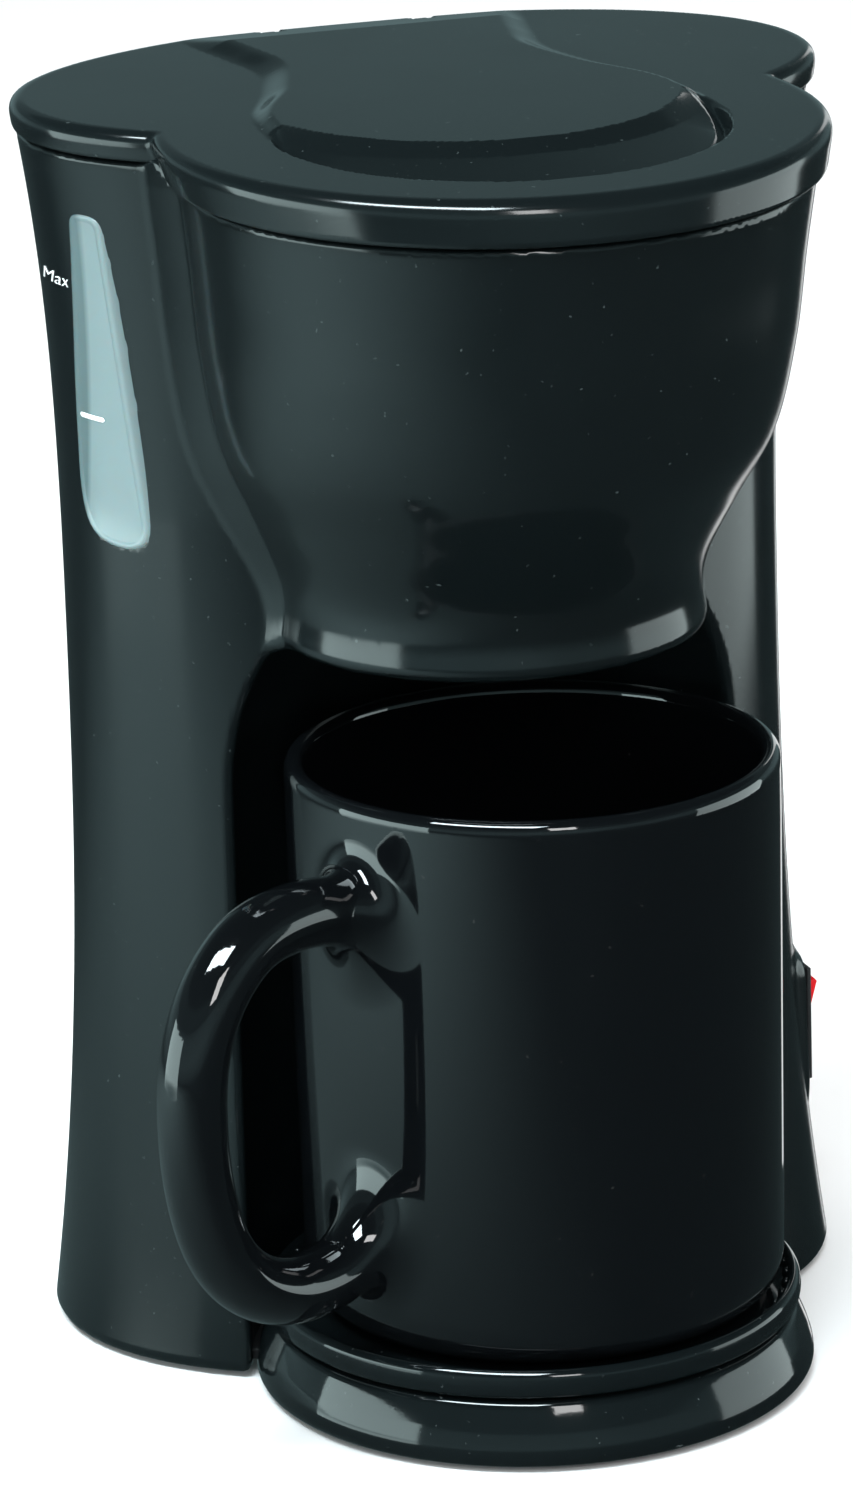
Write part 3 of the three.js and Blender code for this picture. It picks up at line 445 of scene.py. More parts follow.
def window_plastic():
    """Milky clear plastic, with painted shade darkening a band along its rear edge."""
    pale, dark = (0.155, 0.21, 0.215), (0.08, 0.12, 0.125)
    material = soft("smoked_window", pale, 0.2, 0.03, 0.05, Subsurface_Weight=0.3,
                    Subsurface_Scale=0.004)
    links = material.node_tree.links
    place = add_node(material, "ShaderNodeTexCoord")
    split = add_node(material, "ShaderNodeSeparateXYZ")
    links.new(place.outputs["Object"], split.inputs["Vector"])
    lean = add_node(material, "ShaderNodeMath")
    lean.operation = "MULTIPLY_ADD"
    lean.inputs[1].default_value = REAR_EDGE_SLOPE
    links.new(split.outputs["Z"], lean.inputs[0])
    links.new(split.outputs["Y"], lean.inputs[2])
    # Painted shade: the pane's colour turns darker towards its rear edge.
    band = remap(material, lean.outputs[0], REAR_EDGE - REAR_SHADE_START, REAR_EDGE - REAR_SHADE_END, 0, 1)
    into(material, "Base Color", shade(material, band, pale, dark))
    return material


WINDOW = window_plastic()
PRINT = soft("white_print", (0.86, 0.88, 0.88), 0.45, 0.05)

SLOT_MATERIALS = {
    "black_shell": SHELL, "gloss_black": GLOSS, "inner_plastic": INNER, "rubber": RUBBER,
    "steel": STEEL, "aluminium": ALUMINIUM, "brass": BRASS, "silicone": SILICONE,
    "clear_window": WINDOW, "red_rocker": RED, "glazed_ceramic": GLAZE,
    "white_insulation": WHITE}


def paint_cad_nodes():
    """Gives every carried-over CAD node the material of its slot."""
    for row in frame["record"]["subparts"]:
        node = frame["nodes"][row["node"]]
        node.data.materials.clear()
        node.data.materials.append(SLOT_MATERIALS[row["material_slot"]])


# ---------------------------------------------------------------- housing
FUNNEL_CURVE = spline(FUNNEL_PROFILE)


def seam(y):
    """Height of the joint between the housing and its lid."""
    return SEAM_Z + SEAM_SLOPE * y


def tower(x, y, z, inset=0.0):
    """The tall oval tower, waisted in the middle and flared at its foot."""
    low = np.maximum(0, 1 - z / WAIST_Z)
    high = np.maximum(0, (z - WAIST_Z) / (SEAM_Z - WAIST_Z))
    back_low = np.maximum(0, 1 - z / BACK_WAIST_Z)
    back_high = np.maximum(0, (z - BACK_WAIST_Z) / (SEAM_Z - BACK_WAIST_Z))
    width = WAIST_WIDTH + FOOT_FLARE * low ** FLARE_POWER + TOP_FLARE * high ** FLARE_POWER
    depth = BACK_WAIST + BACK_FOOT_FLARE * back_low ** BACK_FOOT_POWER + BACK_TOP_FLARE * back_high ** 2
    risen = np.maximum(0, (z - TOWER_SHIFT_Z) / (SEAM_Z - TOWER_SHIFT_Z))
    centre = TOWER_Y - TOWER_TOP_SHIFT * risen ** 1.5
    return oval(x, y, width, depth, centre) + inset


def funnel(x, y, z, inset=0.0):
    """The round brew head; its centre moves back as it narrows."""
    radius = np.interp(z, FUNNEL_CURVE[:, 1], FUNNEL_CURVE[:, 0])
    centre = FUNNEL_Y + FUNNEL_SHIFT * (FUNNEL_TOP_R - radius)
    return np.hypot(x, y - centre) - radius + inset


NICHE_ARCH_Z, NICHE_ARCH_DRAW, NICHE_TOP = 101, 9.5, 131.0


def niche(x, y, z):
    """The bay behind the mug: a round wall that closes in towards the brew head."""
    rise = np.clip((z - NICHE_ARCH_Z) / (NICHE_TOP - NICHE_ARCH_Z), 0, 1)
    wall = np.hypot(x, y) - NICHE_R + NICHE_ARCH_DRAW * rise ** 2.4
    return smooth_max(wall, z - NICHE_TOP, 5)


def lid_front(x, y, z, inset=0.0):
    """The lid's round front, which widens and moves back as it rises."""
    share = (z - seam(y)) / LID_HEIGHT
    out = np.hypot(x, y - LID_FRONT_Y - LID_FRONT_DRAW * share)
    return out - LID_FRONT_R - LID_FRONT_FLARE * share + inset


def lid_back(x, y, z, inset=0.0):
    """The lid's wide oval back."""
    share = (z - seam(y)) / LID_HEIGHT
    width = LID_BACK_WIDTH + LID_BACK_FLARE * share
    return oval(x, y, width, LID_BACK_DEPTH + share, LID_BACK_Y) + inset


def switch_land(x, y, z):
    """Rounded flat land on the right wall."""
    across = np.abs(y - SWITCH_Y) - LAND_HALF_WIDTH
    side = smooth_max(across, np.abs(z - SWITCH_Z) - LAND_HALF_HEIGHT, 4)
    return np.maximum(smooth_max(x - SWITCH_X, side, 2.2), LAND_ROOT_X - x)


def housing_outside(x, y, z):
    """The housing's outer skin: tower, brew head and switch land."""
    body = smooth_max(tower(x, y, z), z - seam(y) - WING_STEP, 1.2)
    body = smooth_max(body, -z, 1.6)
    body = smooth_max(body, -niche(x, y, z), 2.2)
    under_lid = np.maximum(lid_front(x, y, z, -GAP), seam(y) - GAP - z)
    body = np.maximum(body, -under_lid)
    head = smooth_max(funnel(x, y, z), z - seam(y), 1.2)
    head = smooth_max(head, FUNNEL_Z - z, 3.2)
    strip = 2.0 + 3.6 * ramp(z - FUNNEL_Z - 2, 30)
    body = bevelled_min(body, head, strip)
    return smooth_min(body, switch_land(x, y, z), 2.0)


def rooms(x, y, z):
    """Everything hollow: the lower room, the water tank and the brew room."""
    niche_wall = np.maximum(upright(x, y, NICHE_R + WALL), z - FUNNEL_Z - WALL)
    head = np.maximum(funnel(x, y, z), FUNNEL_Z - 3 - z)
    inner = smooth_max(tower(x, y, z, WALL), -niche_wall, 2)
    lower = np.maximum(inner, z - RESERVOIR_Z + WALL)
    tank = np.maximum(smooth_max(inner, RESERVOIR_Z - z, 4), -head)
    brew = smooth_max(funnel(x, y, z, WALL), FUNNEL_Z + WALL - z, 3)
    return np.minimum(np.minimum(lower, tank), brew)


def wall_openings(x, y, z):
    """Cut-outs for the gauge, the switch, the nozzle, the pipes and the cord."""
    gauge = np.maximum(polygon(y, z, GAUGE, GAUGE_HOLE_ROUNDING) + GAUGE_LEDGE, x - GAUGE_CUT_X)
    across = np.abs(y - SWITCH_Y) - SWITCH_HOLE_HALF_WIDTH
    switch = np.maximum(across, np.abs(z - SWITCH_Z) - SWITCH_HOLE_HALF_HEIGHT)
    switch = np.maximum(switch, SWITCH_CUT_X - x)
    nozzle = np.maximum(round_hole(x, y, NOZZLE_HOLE), np.abs(z - FUNNEL_Z) - 6)
    tank_floor = np.abs(z - RESERVOIR_Z) - 8
    riser = np.maximum(round_hole(x, y, RISER_HOLE), tank_floor)
    nipple = np.maximum(round_hole(x, y, NIPPLE_HOLE), tank_floor)
    gland = np.maximum(np.hypot(x, z - GLAND_Z) - GLAND_HOLE_R, GLAND_CUT_Y - y)
    off_middle = np.abs(x - SPOUT_START_X - (y - SPOUT_START_Y) * SPOUT_SLOPE)
    spout = block(x, y, z, SPOUT_SLOT_LOW, SPOUT_SLOT_HIGH)
    spout = np.maximum(spout, off_middle - SPOUT_SLOT_HALF_WIDTH)
    return np.minimum.reduce([gauge, switch, nozzle, riser, nipple, gland, spout])


def housing(x, y, z):
    """The whole housing: its skin less its rooms and openings."""
    solid = smooth_max(housing_outside(x, y, z), -rooms(x, y, z), 1.0)
    return smooth_max(solid, -wall_openings(x, y, z), 0.8)


def build_housing():
    shell = field_piece("housing_shell", housing, (-72, -50, 0), (72, 100, 216), HOUSING_CELL,
                        "housing", SHELL)
    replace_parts(shell, "main_housing")


# ---------------------------------------------------------------- lid
PAD_R, PAD_Y, PAD_RISE, PAD_BEVEL = 38.5, 2, 1.6, 3.2
NECK_EDGE = np.array([(2, 38.5), (12, 38), (23.5, 36.2), (37, 30.6), (52, 26.4), (64, 28),
                      (77, 30.8), (95, 34)])
NECK_CURVE = spline([tuple(p) for p in NECK_EDGE], 8)
SCOOP_Y, SCOOP_R, SCOOP_FALL, SCOOP_END = 22, 37, 4.2, 12
SCOOP_STEP, SCOOP_STEP_SHARE = 3.5, 0.32
REAR_SLOPE_Y, REAR_SLOPE_DROP = 73, 0.16
REAR_ROOM, REAR_LIP = 0.7, 2.95
EAR_SLOT_HALF_WIDTH, EAR_SLOT_DEPTH, EAR_SLOT_RISE = 2, 3.6, 2.1


def keyhole(x, y):
    """Outline of the raised pad: round in front, a waisted neck behind."""
    neck = np.abs(x) - np.interp(y, NECK_CURVE[:, 0], NECK_CURVE[:, 1])
    front = np.hypot(x, y - PAD_Y) - PAD_R
    return np.where(y > PAD_Y, neck, front)


def lid_relief(x, y):
    """Height of the lid's top above its flat: the pad, and the scoop that falls towards its front."""
    inside_pad = ramp(-keyhole(x, y), PAD_BEVEL + 2.4 * ramp(y - 15, 20))
    behind = np.hypot(x, y - SCOOP_Y) - SCOOP_R - 2.2 * np.maximum(y - 9, 0)
    before = PAD_R - np.hypot(x, y - PAD_Y)
    width = np.maximum(behind, 0) + np.maximum(before, 0)
    along = np.clip(behind / np.maximum(width, 0.5), 0, 1)
    step = np.clip(behind / SCOOP_STEP, 0, 1)
    fall = (1 - SCOOP_STEP_SHARE) * along + SCOOP_STEP_SHARE * step
    scoop = SCOOP_FALL * fall * ramp(width, SCOOP_END) * ramp(before, 1.6)
    rear = REAR_SLOPE_DROP * np.maximum(y - REAR_SLOPE_Y, 0) * inside_pad
    return PAD_RISE * inside_pad - scoop - rear


def lid_plan(x, y, z, inset=0.0):
    """The lid's outline, round in front and oval behind."""
    return smooth_min(lid_front(x, y, z, inset), lid_back(x, y, z, inset), 1.1)


def lid(x, y, z):
    """The lid's shell, open below, with slots for the hinge ears at its rear."""
    height = z - seam(y)
    relief = lid_relief(x, y)
    front = smooth_max(lid_front(x, y, z), GAP - height, 0.9)
    wings = smooth_max(lid_back(x, y, z), WING_STEP + GAP - height, 0.9)
    outside = smooth_max(smooth_min(front, wings, 1.1), height - LID_HEIGHT - relief, 2.9)
    ceiling = height - LID_HEIGHT + WALL - np.minimum(relief, 0)
    inside = smooth_max(lid_plan(x, y, z, WALL), ceiling, 1.5)
    shell = smooth_max(outside, -inside, 0.8)
    rear_room = np.maximum(HINGE_Y - REAR_ROOM - y, z - HINGE_Z + 0.5)
    rear_lip = HINGE_Y + REAR_LIP - y
    slots = np.abs(np.abs(x) - HINGE_X) - EAR_SLOT_HALF_WIDTH
    slots = np.maximum(slots, HINGE_Y - EAR_SLOT_DEPTH - y)
    slots = np.maximum(slots, z - HINGE_Z - EAR_SLOT_RISE)
    shell = smooth_max(shell, -rear_room, 0.6)
    shell = np.maximum(shell, -slots)
    return smooth_max(shell, -rear_lip, 1.5)


def build_lid():
    shell = field_piece("lid_shell", lid, (-73, -51, 208), (73, 91, 223), LID_CELL, "lid_body",
                        SHELL)
    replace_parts(shell, "lid")


# ---------------------------------------------------------------- mug
HANDLE_CURVE = spline(HANDLE_ROUTE, 14)
FOOT_RING_R, FOOT_RING_HALF_WIDTH, FOOT_RECESS = 31.5, 1.5, 0.9
MUG_FLOOR = 4.8


def handle(x, y, z):
    """The mug's handle: a round rod along its route, in the plane that HANDLE_ANGLE sets."""
    u, v = x - MUG_X, y - MUG_Y
    out = -u * math.sin(HANDLE_ANGLE) - v * math.cos(HANDLE_ANGLE)
    across = u * math.cos(HANDLE_ANGLE) - v * math.sin(HANDLE_ANGLE)
    far = np.full(np.shape(x), 30.0)
    near = (out > 24) & (out < 95) & (np.abs(across) < 20) & (z > 18) & (z < 112)
    if not np.any(near):
        return far
    r, h = out[near], z[near]
    best = np.full(r.shape, 1e9)
    for (r0, z0), (r1, z1) in zip(HANDLE_CURVE, HANDLE_CURVE[1:]):
        dr, dz = r1 - r0, z1 - z0
        t = np.clip(((r - r0) * dr + (h - z0) * dz) / (dr * dr + dz * dz), 0, 1)
        best = np.minimum(best, (r - r0 - t * dr) ** 2 + (h - z0 - t * dz) ** 2)
    far[near] = np.sqrt(best + across[near] ** 2) - HANDLE_R
    return far


def mug(x, y, z):
    """The glazed mug with its foot ring, handle and hollow."""
    flare = np.interp(z, [20, 40, 100], [-0.7, -0.5, 0])
    spread = np.hypot(x - MUG_X, y - MUG_Y)
    cup = smooth_max(spread - MUG_R - flare, MUG_Z - z, 8.5)
    foot = np.abs(spread - FOOT_RING_R) - FOOT_RING_HALF_WIDTH
    recess = np.maximum(spread - FOOT_RING_R + FOOT_RING_HALF_WIDTH, z - MUG_Z - FOOT_RECESS)
    cup = smooth_max(np.minimum(cup, np.maximum(foot, MUG_Z - z)), -recess, 1.0)
    body = smooth_min(cup, handle(x, y, z), 7.5)
    cavity = smooth_max(spread - MUG_R - flare + MUG_WALL, MUG_Z + MUG_FLOOR - z, 14)
    return smooth_max(smooth_max(body, z - MUG_TOP, 2.6), -cavity, 2.6)


def build_mug():
    body = field_piece("mug_glazed", mug, (-78, -47, 14), (44, 39, 113), MUG_CELL, "mug_body",
                       GLAZE)
    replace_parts(body, "mug")


# ---------------------------------------------------------------- turned pieces
def ring_faces(rings, count):
    """Quads between rings of as many points each."""
    return [(r * count + i, (r + 1) * count + i, (r + 1) * count + (i + 1) % count,
             r * count + (i + 1) % count) for r in range(rings - 1) for i in range(count)]


def merged(parts):
    """Several (points, faces) pairs as one."""
    points, faces, start = [], [], 0
    for p, f in parts:
        points.append(p)
        faces += [tuple(i + start for i in face) for face in f]
        start += len(p)
    return np.concatenate(points), faces


def turned(profile, sides, cx=0.0, cy=0.0):
    """Points and faces of a closed profile of (radius, height) turned about an upright axis."""
    angles = np.arange(sides) / sides * 2 * math.pi
    points = [(cx + r * math.cos(a), cy + r * math.sin(a), z) for a in angles for r, z in profile]
    faces = ring_faces(sides + 1, len(profile))
    return np.array(points), [tuple(k % len(points) for k in face) for face in faces]


def rounded(corners, rounding, steps=4, limit=0.45):
    """Closed outline with each corner cut into a curve; rounding is one size or one per corner."""
    corners = np.array(corners, float)
    rounding = np.broadcast_to(rounding, len(corners))
    rows = []
    neighbours = zip(np.roll(corners, 1, 0), corners, np.roll(corners, -1, 0), rounding)
    for before, corner, after, radius in neighbours:
        arms = [p - corner for p in (before, after)]
        cuts = [min(radius, limit * np.linalg.norm(arm)) for arm in arms]
        start, end = (corner + arm / np.linalg.norm(arm) * cut for arm, cut in zip(arms, cuts))
        for t in np.linspace(0, 1, steps):
            rows.append((1 - t) ** 2 * start + 2 * t * (1 - t) * corner + t * t * end)
    return np.array(rows)


def turned_piece(name, node, profile, sides, radius, body, material, cx=0.0, cy=0.0):
    """A new turned piece with rounded corners, which stands for a CAD node."""
    points, faces = turned(rounded(profile, radius), sides, cx, cy)
    piece = mesh_piece(name, points, faces, body, material)
    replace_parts(piece, node)


BASE_PROFILE = [
    (45.6, 0.1), (47.6, 0), (48.4, 1.2), (48.2, 3.4), (47.4, 6), (46.4, 8.4), (45.5, 10.4),
    (44.6, 10.9), (0.5, 10.9), (0.5, 8.5), (43.6, 8.5)]
RING_PROFILE = [
    (0.5, 11.25), (45, 11.25), (46, 12.2), (46.3, 13.6), (46.1, 15.6), (45.3, 16.5),
    (44.4, 16.3), (43.6, 15.2), (43.4, 14.5), (0.5, 14.5)]
RIB_COUNT, RIB_R = 56, 43.6
RIB_OUTLINE = [(-0.65, 0.25), (-0.45, -0.35), (0, -0.6), (0.45, -0.35), (0.65, 0.25)]
RIB_LEVELS = [(14.4, 0), (15.3, 0), (15.8, 0.35)]


def build_base():
    turned_piece("base_skirt", "base_deck", BASE_PROFILE, 192, 0.7, "housing", GLOSS)
    turned_piece("mug_plate", "mug_ring", RING_PROFILE, 192, 0.45, "housing", GLOSS)


def rib(angle):
    """Points and faces of one small upright rib on the ring's lip."""
    out = np.array([math.cos(angle), math.sin(angle), 0])
    side = np.array([-out[1], out[0], 0])
    count = len(RIB_OUTLINE)
    points = [out * (RIB_R + d + draw) + side * w + np.array([0, 0, z])
              for z, draw in RIB_LEVELS for w, d in RIB_OUTLINE]
    faces = [face[::-1] for face in ring_faces(len(RIB_LEVELS), count)]
    faces += [tuple(reversed(range(count))), tuple(range(2 * count, 3 * count))]
    return np.array(points), faces


def build_ring_ribs():
    """Small upright ribs round the inside of the ring's lip."""
    points, faces = merged([rib(i / RIB_COUNT * 2 * math.pi) for i in range(RIB_COUNT)])
    mesh_piece("ring_ribs", points, faces, "housing", GLOSS)


# ---------------------------------------------------------------- water gauge
def wall_x(y, z):
    """x of the tower's left wall at a place on it."""
    x = np.full(np.shape(y), -60.0)
    for _ in range(12):
        value = tower(x, y, z)
        slope = (tower(x + 0.05, y, z) - value) / 0.05
        x = x - value / slope
    return x


# The pane's rings from its back edge to its face: inset, height above the wall, and how far the
# surface leans outwards there, in degrees.
PANE_RINGS = [(0.4, -1.9, 90), (0.0, -0.7, 90), (0.0, 0.14, 70), (0.15, 0.26, 40), (0.45, 0.32, 5),
              (0.8, 0.29, -16), (1.1, 0.2, -22), (1.3, 0.17, -4)]


def wall_normal(x, y, z):
    """Outward direction of the tower's wall."""
    slope = gradient(tower, np.stack([x, y, z], axis=1), 0.2)
    return slope / np.linalg.norm(slope, axis=1, keepdims=True)


def wall_ring(flat, inset, lift, lean):
    """One ring of points laid on the left wall, with the directions that its surface faces."""
    along = np.roll(flat, -1, 0) - np.roll(flat, 1, 0)
    along /= np.maximum(np.linalg.norm(along, axis=1, keepdims=True), 1e-6)
    inward = np.stack([-along[:, 1], along[:, 0]], axis=1)
    y, z = (flat + inset * inward).T
    x = wall_x(y, z)
    away = np.stack([np.zeros(len(flat)), -inward[:, 0], -inward[:, 1]], axis=1)
    lean = math.radians(lean)
    normals = wall_normal(x, y, z) * math.cos(lean) + away * math.sin(lean)
    return np.stack([x - lift, y, z], axis=1), normals


def build_pane():
    """Clear pane with a raised round rim and a face that follows the wall."""
    outline = rounded(GAUGE, GAUGE_ROUNDING, steps=7, limit=0.48)
    rings = [wall_ring(outline, *ring) for ring in PANE_RINGS]
    face = rings[-1][0][:, 1:]
    middle = face.mean(axis=0)
    for scale in (0.8, 0.6, 0.4, 0.2, 0.05):
        rings.append(wall_ring(middle + (face - middle) * scale, 0, PANE_RINGS[-1][1], 0))
    count = len(outline)
    faces = ring_faces(len(rings), count)
    points, normals = (np.concatenate(rows) for rows in zip(*rings))
    faces.append(tuple(range(count)))
    faces.append(tuple(len(points) - 1 - i for i in range(count)))
    return mesh_piece("gauge_pane", points, faces, "housing", WINDOW, normals)


LEVEL_MARK = ((39.5, 167.0), (33.9, 166.8))
MARK_WIDTH = 0.85
MAX_TEXT_Y, MAX_TEXT_Z, MAX_TEXT_SIZE, MAX_TEXT_WIDTH = 49.2, 189.2, 3.2, 11.0
MAX_TEXT_THINNING = -0.03
MAX_TEXT_SPREAD = 1.4          # over 1, the first letters are drawn wider than the last
MARK_LIFT, MAX_TEXT_LIFT, PRINT_DEPTH = 0.3, 0.12, 0.08
MARK_STEPS, MARK_END = 20, 0.14


def laid_on_wall(name, flat, faces, lift, body):
    """A thin closed print: flat (y, z) places laid on the left wall."""
    y, z = flat[:, 0], flat[:, 1]
    x = wall_x(y, z) - lift
    front = np.stack([x, y, z], axis=1)
    back = np.stack([x + PRINT_DEPTH, y, z], axis=1)
    count = len(flat)
    edges = {(a, b) for face in faces for a, b in zip(face, (*face[1:], face[0]))}
    rim = [(a, b) for a, b in edges if (b, a) not in edges]
    sides = [(b, a, a + count, b + count) for a, b in sorted(rim)]
    behind = [tuple(i + count for i in reversed(face)) for face in faces]
    points = np.concatenate([front, back])
    return mesh_piece(name, points, [*faces, *behind, *sides], body, PRINT)


def build_level_mark():
    """Rounded white line on the pane."""
    (y0, z0), (y1, z1) = LEVEL_MARK
    start, end = np.array([y0, z0]), np.array([y1, z1])
    along = (end - start) / np.linalg.norm(end - start)
    side = np.array([-along[1], along[0]])
    rows = []
    for t in np.linspace(0, 1, MARK_STEPS + 1):
        into_end = max(0, abs(t - 0.5) * 2 - 1 + MARK_END) / MARK_END
        taper = math.sqrt(max(0.04, 1 - into_end ** 2))
        middle = start + (end - start) * t
        rows += [middle - side * MARK_WIDTH / 2 * taper, middle + side * MARK_WIDTH / 2 * taper]
    faces = [(2 * i, 2 * i + 1, 2 * i + 3, 2 * i + 2) for i in range(MARK_STEPS)]
    laid_on_wall("level_mark", np.array(rows), faces, MARK_LIFT, "housing")


def build_max_text():
    """The word Max, printed on the wall beside the gauge."""
    curve = bpy.data.curves.new("max_text_curve", "FONT")
    curve.body = "Max"
    curve.size = MAX_TEXT_SIZE
    curve.shear = 0.28
    curve.offset = MAX_TEXT_THINNING
    text = bpy.data.objects.new("max_text_flat", curve)
    bpy.context.scene.collection.objects.link(text)
    bpy.context.view_layer.update()
    mesh = bpy.data.meshes.new_from_object(text)
    length = max(v.co.x for v in mesh.vertices)
    along = [1 - (1 - v.co.x / length) ** MAX_TEXT_SPREAD for v in mesh.vertices]
    flat = np.array([(MAX_TEXT_Y - MAX_TEXT_WIDTH * share, MAX_TEXT_Z + v.co.y)
                     for share, v in zip(along, mesh.vertices)])
    faces = [tuple(p.vertices) for p in mesh.polygons]
    bpy.data.objects.remove(text)
    laid_on_wall("max_text", flat, faces, MAX_TEXT_LIFT, "housing")


def build_gauge():
    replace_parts(build_pane(), "gauge_window")
    build_level_mark()
    build_max_text()


# ---------------------------------------------------------------- hinge ears
EAR_HALF_WIDTH, EAR_R, EAR_HALF_DEPTH, EAR_ROOT, PIN_HOLE_R = 1.5, 1.7, 1.3, 6, 1.05


def ears(x, y, z):
    """The two hinge ears on the tower's rear rim, with their pin holes."""
    across = np.abs(np.abs(x) - HINGE_X) - EAR_HALF_WIDTH
    blade = np.maximum(np.abs(y - HINGE_Y + 0.3) - EAR_HALF_DEPTH, z - HINGE_Z)
    from_pin = np.hypot(y - HINGE_Y, z - HINGE_Z)
    solid = smooth_max(np.minimum(blade, from_pin - EAR_R), across, 0.6)
    solid = np.maximum(solid, seam(y) - EAR_ROOT - z)
    return np.maximum(solid, PIN_HOLE_R - from_pin)


def build_ears():
    field_piece("lid_ears", ears, (-16, 82, 206), (16, 88, 221), 0.4, "housing", SHELL)


# ---------------------------------------------------------------- inside the brew head
BASKET_FLOOR, BASKET_TOP, DRIP_Y, DRIP_HOLE_R, FILTER_Y = 132.2, 199, 5, 3.4, 6
BASKET_GAP, BASKET_WALL, BASKET_FLOOR_THICKNESS = 0.9, 1.6, 1.8


def basket(x, y, z):
    """The removable funnel basket inside the brew head."""
    outer = smooth_max(funnel(x, y, z, WALL + BASKET_GAP), BASKET_FLOOR - z, 3)
    outer = np.maximum(outer, z - BASKET_TOP)
    hollow = funnel(x, y, z, WALL + BASKET_GAP + BASKET_WALL)
    inner = smooth_max(hollow, BASKET_FLOOR + BASKET_FLOOR_THICKNESS - z, 4)
    solid = smooth_max(outer, -inner, 0.8)
    return smooth_max(solid, -upright(x, y, DRIP_HOLE_R, 0, DRIP_Y), 0.8)


def mesh_material():
    """Gold-coloured woven mesh: a fine grid of bright wires, with painted shade in the holes between
    them.
    """
    material = new_material("gold_mesh", (0.75, 0.56, 0.2), 0.28, Metallic=1.0)
    where = add_node(material, "ShaderNodeTexCoord")
    weave = add_node(material, "ShaderNodeTexVoronoi", Scale=1300.0)
    weave.distance = "CHEBYCHEV"
    material.node_tree.links.new(where.outputs["Object"], weave.inputs["Vector"])
    # Painted shade: the holes between the wires are coloured near black.
    holes = remap(material, weave.outputs["Distance"], 0.3, 0.42, 0, 1)
    into(material, "Base Color", shade(material, holes, (0.02, 0.015, 0.01), (0.78, 0.58, 0.2)))
    into(material, "Roughness", remap(material, holes, 0, 1, 0.7, 0.25))
    bump(material, [(holes, 0.4)])
    return material


FILTER_RING = [(40.5, 193), (43.6, 193), (44.4, 196.5), (40.9, 196.5)]
FILTER_FOOT = [(0.5, 148), (19, 148), (19.6, 150), (0.5, 150)]
FILTER_MESH = [(16.6, 150.5), (17.1, 150.5), (40, 193.4), (39.5, 193.4)]
FILTER_RIBS, RIB_FOOT, RIB_TOP, FILTER_RIB_R = 6, (18, 149), (42.2, 195), 0.9


def rod(start, end, radius, sides=12):
    """Points and faces of a straight round rod."""
    start, end = Vector(start), Vector(end)
    turn = (end - start).to_track_quat("Z", "Y").to_matrix()
    circle = [Vector((math.cos(a), math.sin(a), 0)) * radius
              for a in np.arange(sides) / sides * 2 * math.pi]
    points = [place + turn @ spot for place in (start, end) for spot in circle]
    faces = [face[::-1] for face in ring_faces(2, sides)]
    faces += [tuple(reversed(range(sides))), tuple(range(sides, 2 * sides))]
    return np.array(points), faces


def build_filter():
    """The filter's frame and gauze, and the basket they stand in."""
    parts = [turned(rounded(profile, 0.5), 96, 0, FILTER_Y) for profile in (FILTER_RING, FILTER_FOOT)]
    for i in range(FILTER_RIBS):
        angle = i / FILTER_RIBS * 2 * math.pi
        ends = [(r * math.cos(angle), r * math.sin(angle) + FILTER_Y, z) for r, z in (RIB_FOOT, RIB_TOP)]
        parts.append(rod(*ends, FILTER_RIB_R))
    points, faces = merged(parts)
    body = mesh_piece("filter_cage", points, faces, "housing", INNER)
    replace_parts(body, "filter_frame")
    turned_piece("filter_gauze", "filter_mesh", FILTER_MESH, 128, 0.1, "housing", mesh_material(),
                 0, FILTER_Y)
    cup = field_piece("basket_cup", basket, (-50, -46, 131), (50, 54, 200), 1.1, "housing", INNER)
    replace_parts(cup, "brew_basket")


# ---------------------------------------------------------------- softened copies of CAD nodes
def soften(node, name, body, material, width):
    """A new piece with a CAD node's shape and small rounded edges."""
    mesh = frame["nodes"][node].data.copy()
    mesh.name = name
    piece = bpy.data.objects.new(name, mesh)
    bpy.context.scene.collection.objects.link(piece)
    work = bmesh.new()
    work.from_mesh(mesh)
    bmesh.ops.remove_doubles(work, verts=work.verts, dist=0.00001)
    bmesh.ops.dissolve_limit(work, angle_limit=0.01, verts=work.verts, edges=work.edges)
    work.to_mesh(mesh)
    work.free()
    mesh.materials.clear()
    mesh.materials.append(material)
    edges = piece.modifiers.new("edges", "BEVEL")
    edges.width, edges.segments = width * MM, 3
    edges.limit_method, edges.angle_limit = "ANGLE", math.radians(28)
    edges.harden_normals = False
    depsgraph = bpy.context.evaluated_depsgraph_get()
    final = bpy.data.meshes.new_from_object(piece.evaluated_get(depsgraph))
    piece.modifiers.clear()
    piece.data = final
    final.polygons.foreach_set("use_smooth", [True] * len(final.polygons))
    final.set_sharp_from_angle(angle=math.radians(35))
    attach(piece, body)
    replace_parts(piece, node)


# ---------------------------------------------------------------- camera, floor and lights
CAMERA_PLACE = (-342.7, -1005.1, 439.7)
CAMERA_TURN, CAMERA_PITCH = math.radians(18.828), math.radians(17.1887)
CAMERA_ROLL, CAMERA_YAW = math.radians(-1.7408), math.radians(-0.8497)
LENS, SENSOR_HEIGHT = 157.961, 36.0


def camera_axes():
    """The camera's forward, right and up directions in the shell frame."""
    forward = Vector((math.sin(CAMERA_YAW) * math.cos(CAMERA_PITCH),
                      math.cos(CAMERA_YAW) * math.cos(CAMERA_PITCH), -math.sin(CAMERA_PITCH)))
    right = forward.cross(Vector((0, 0, 1))).normalized()
    up = right.cross(forward)
    c, s = math.cos(CAMERA_ROLL), math.sin(CAMERA_ROLL)
    right, up = c * right + s * up, c * up - s * right
    turn = Matrix.Rotation(-CAMERA_TURN, 3, "Z")
    return turn @ forward, turn @ right, turn @ up


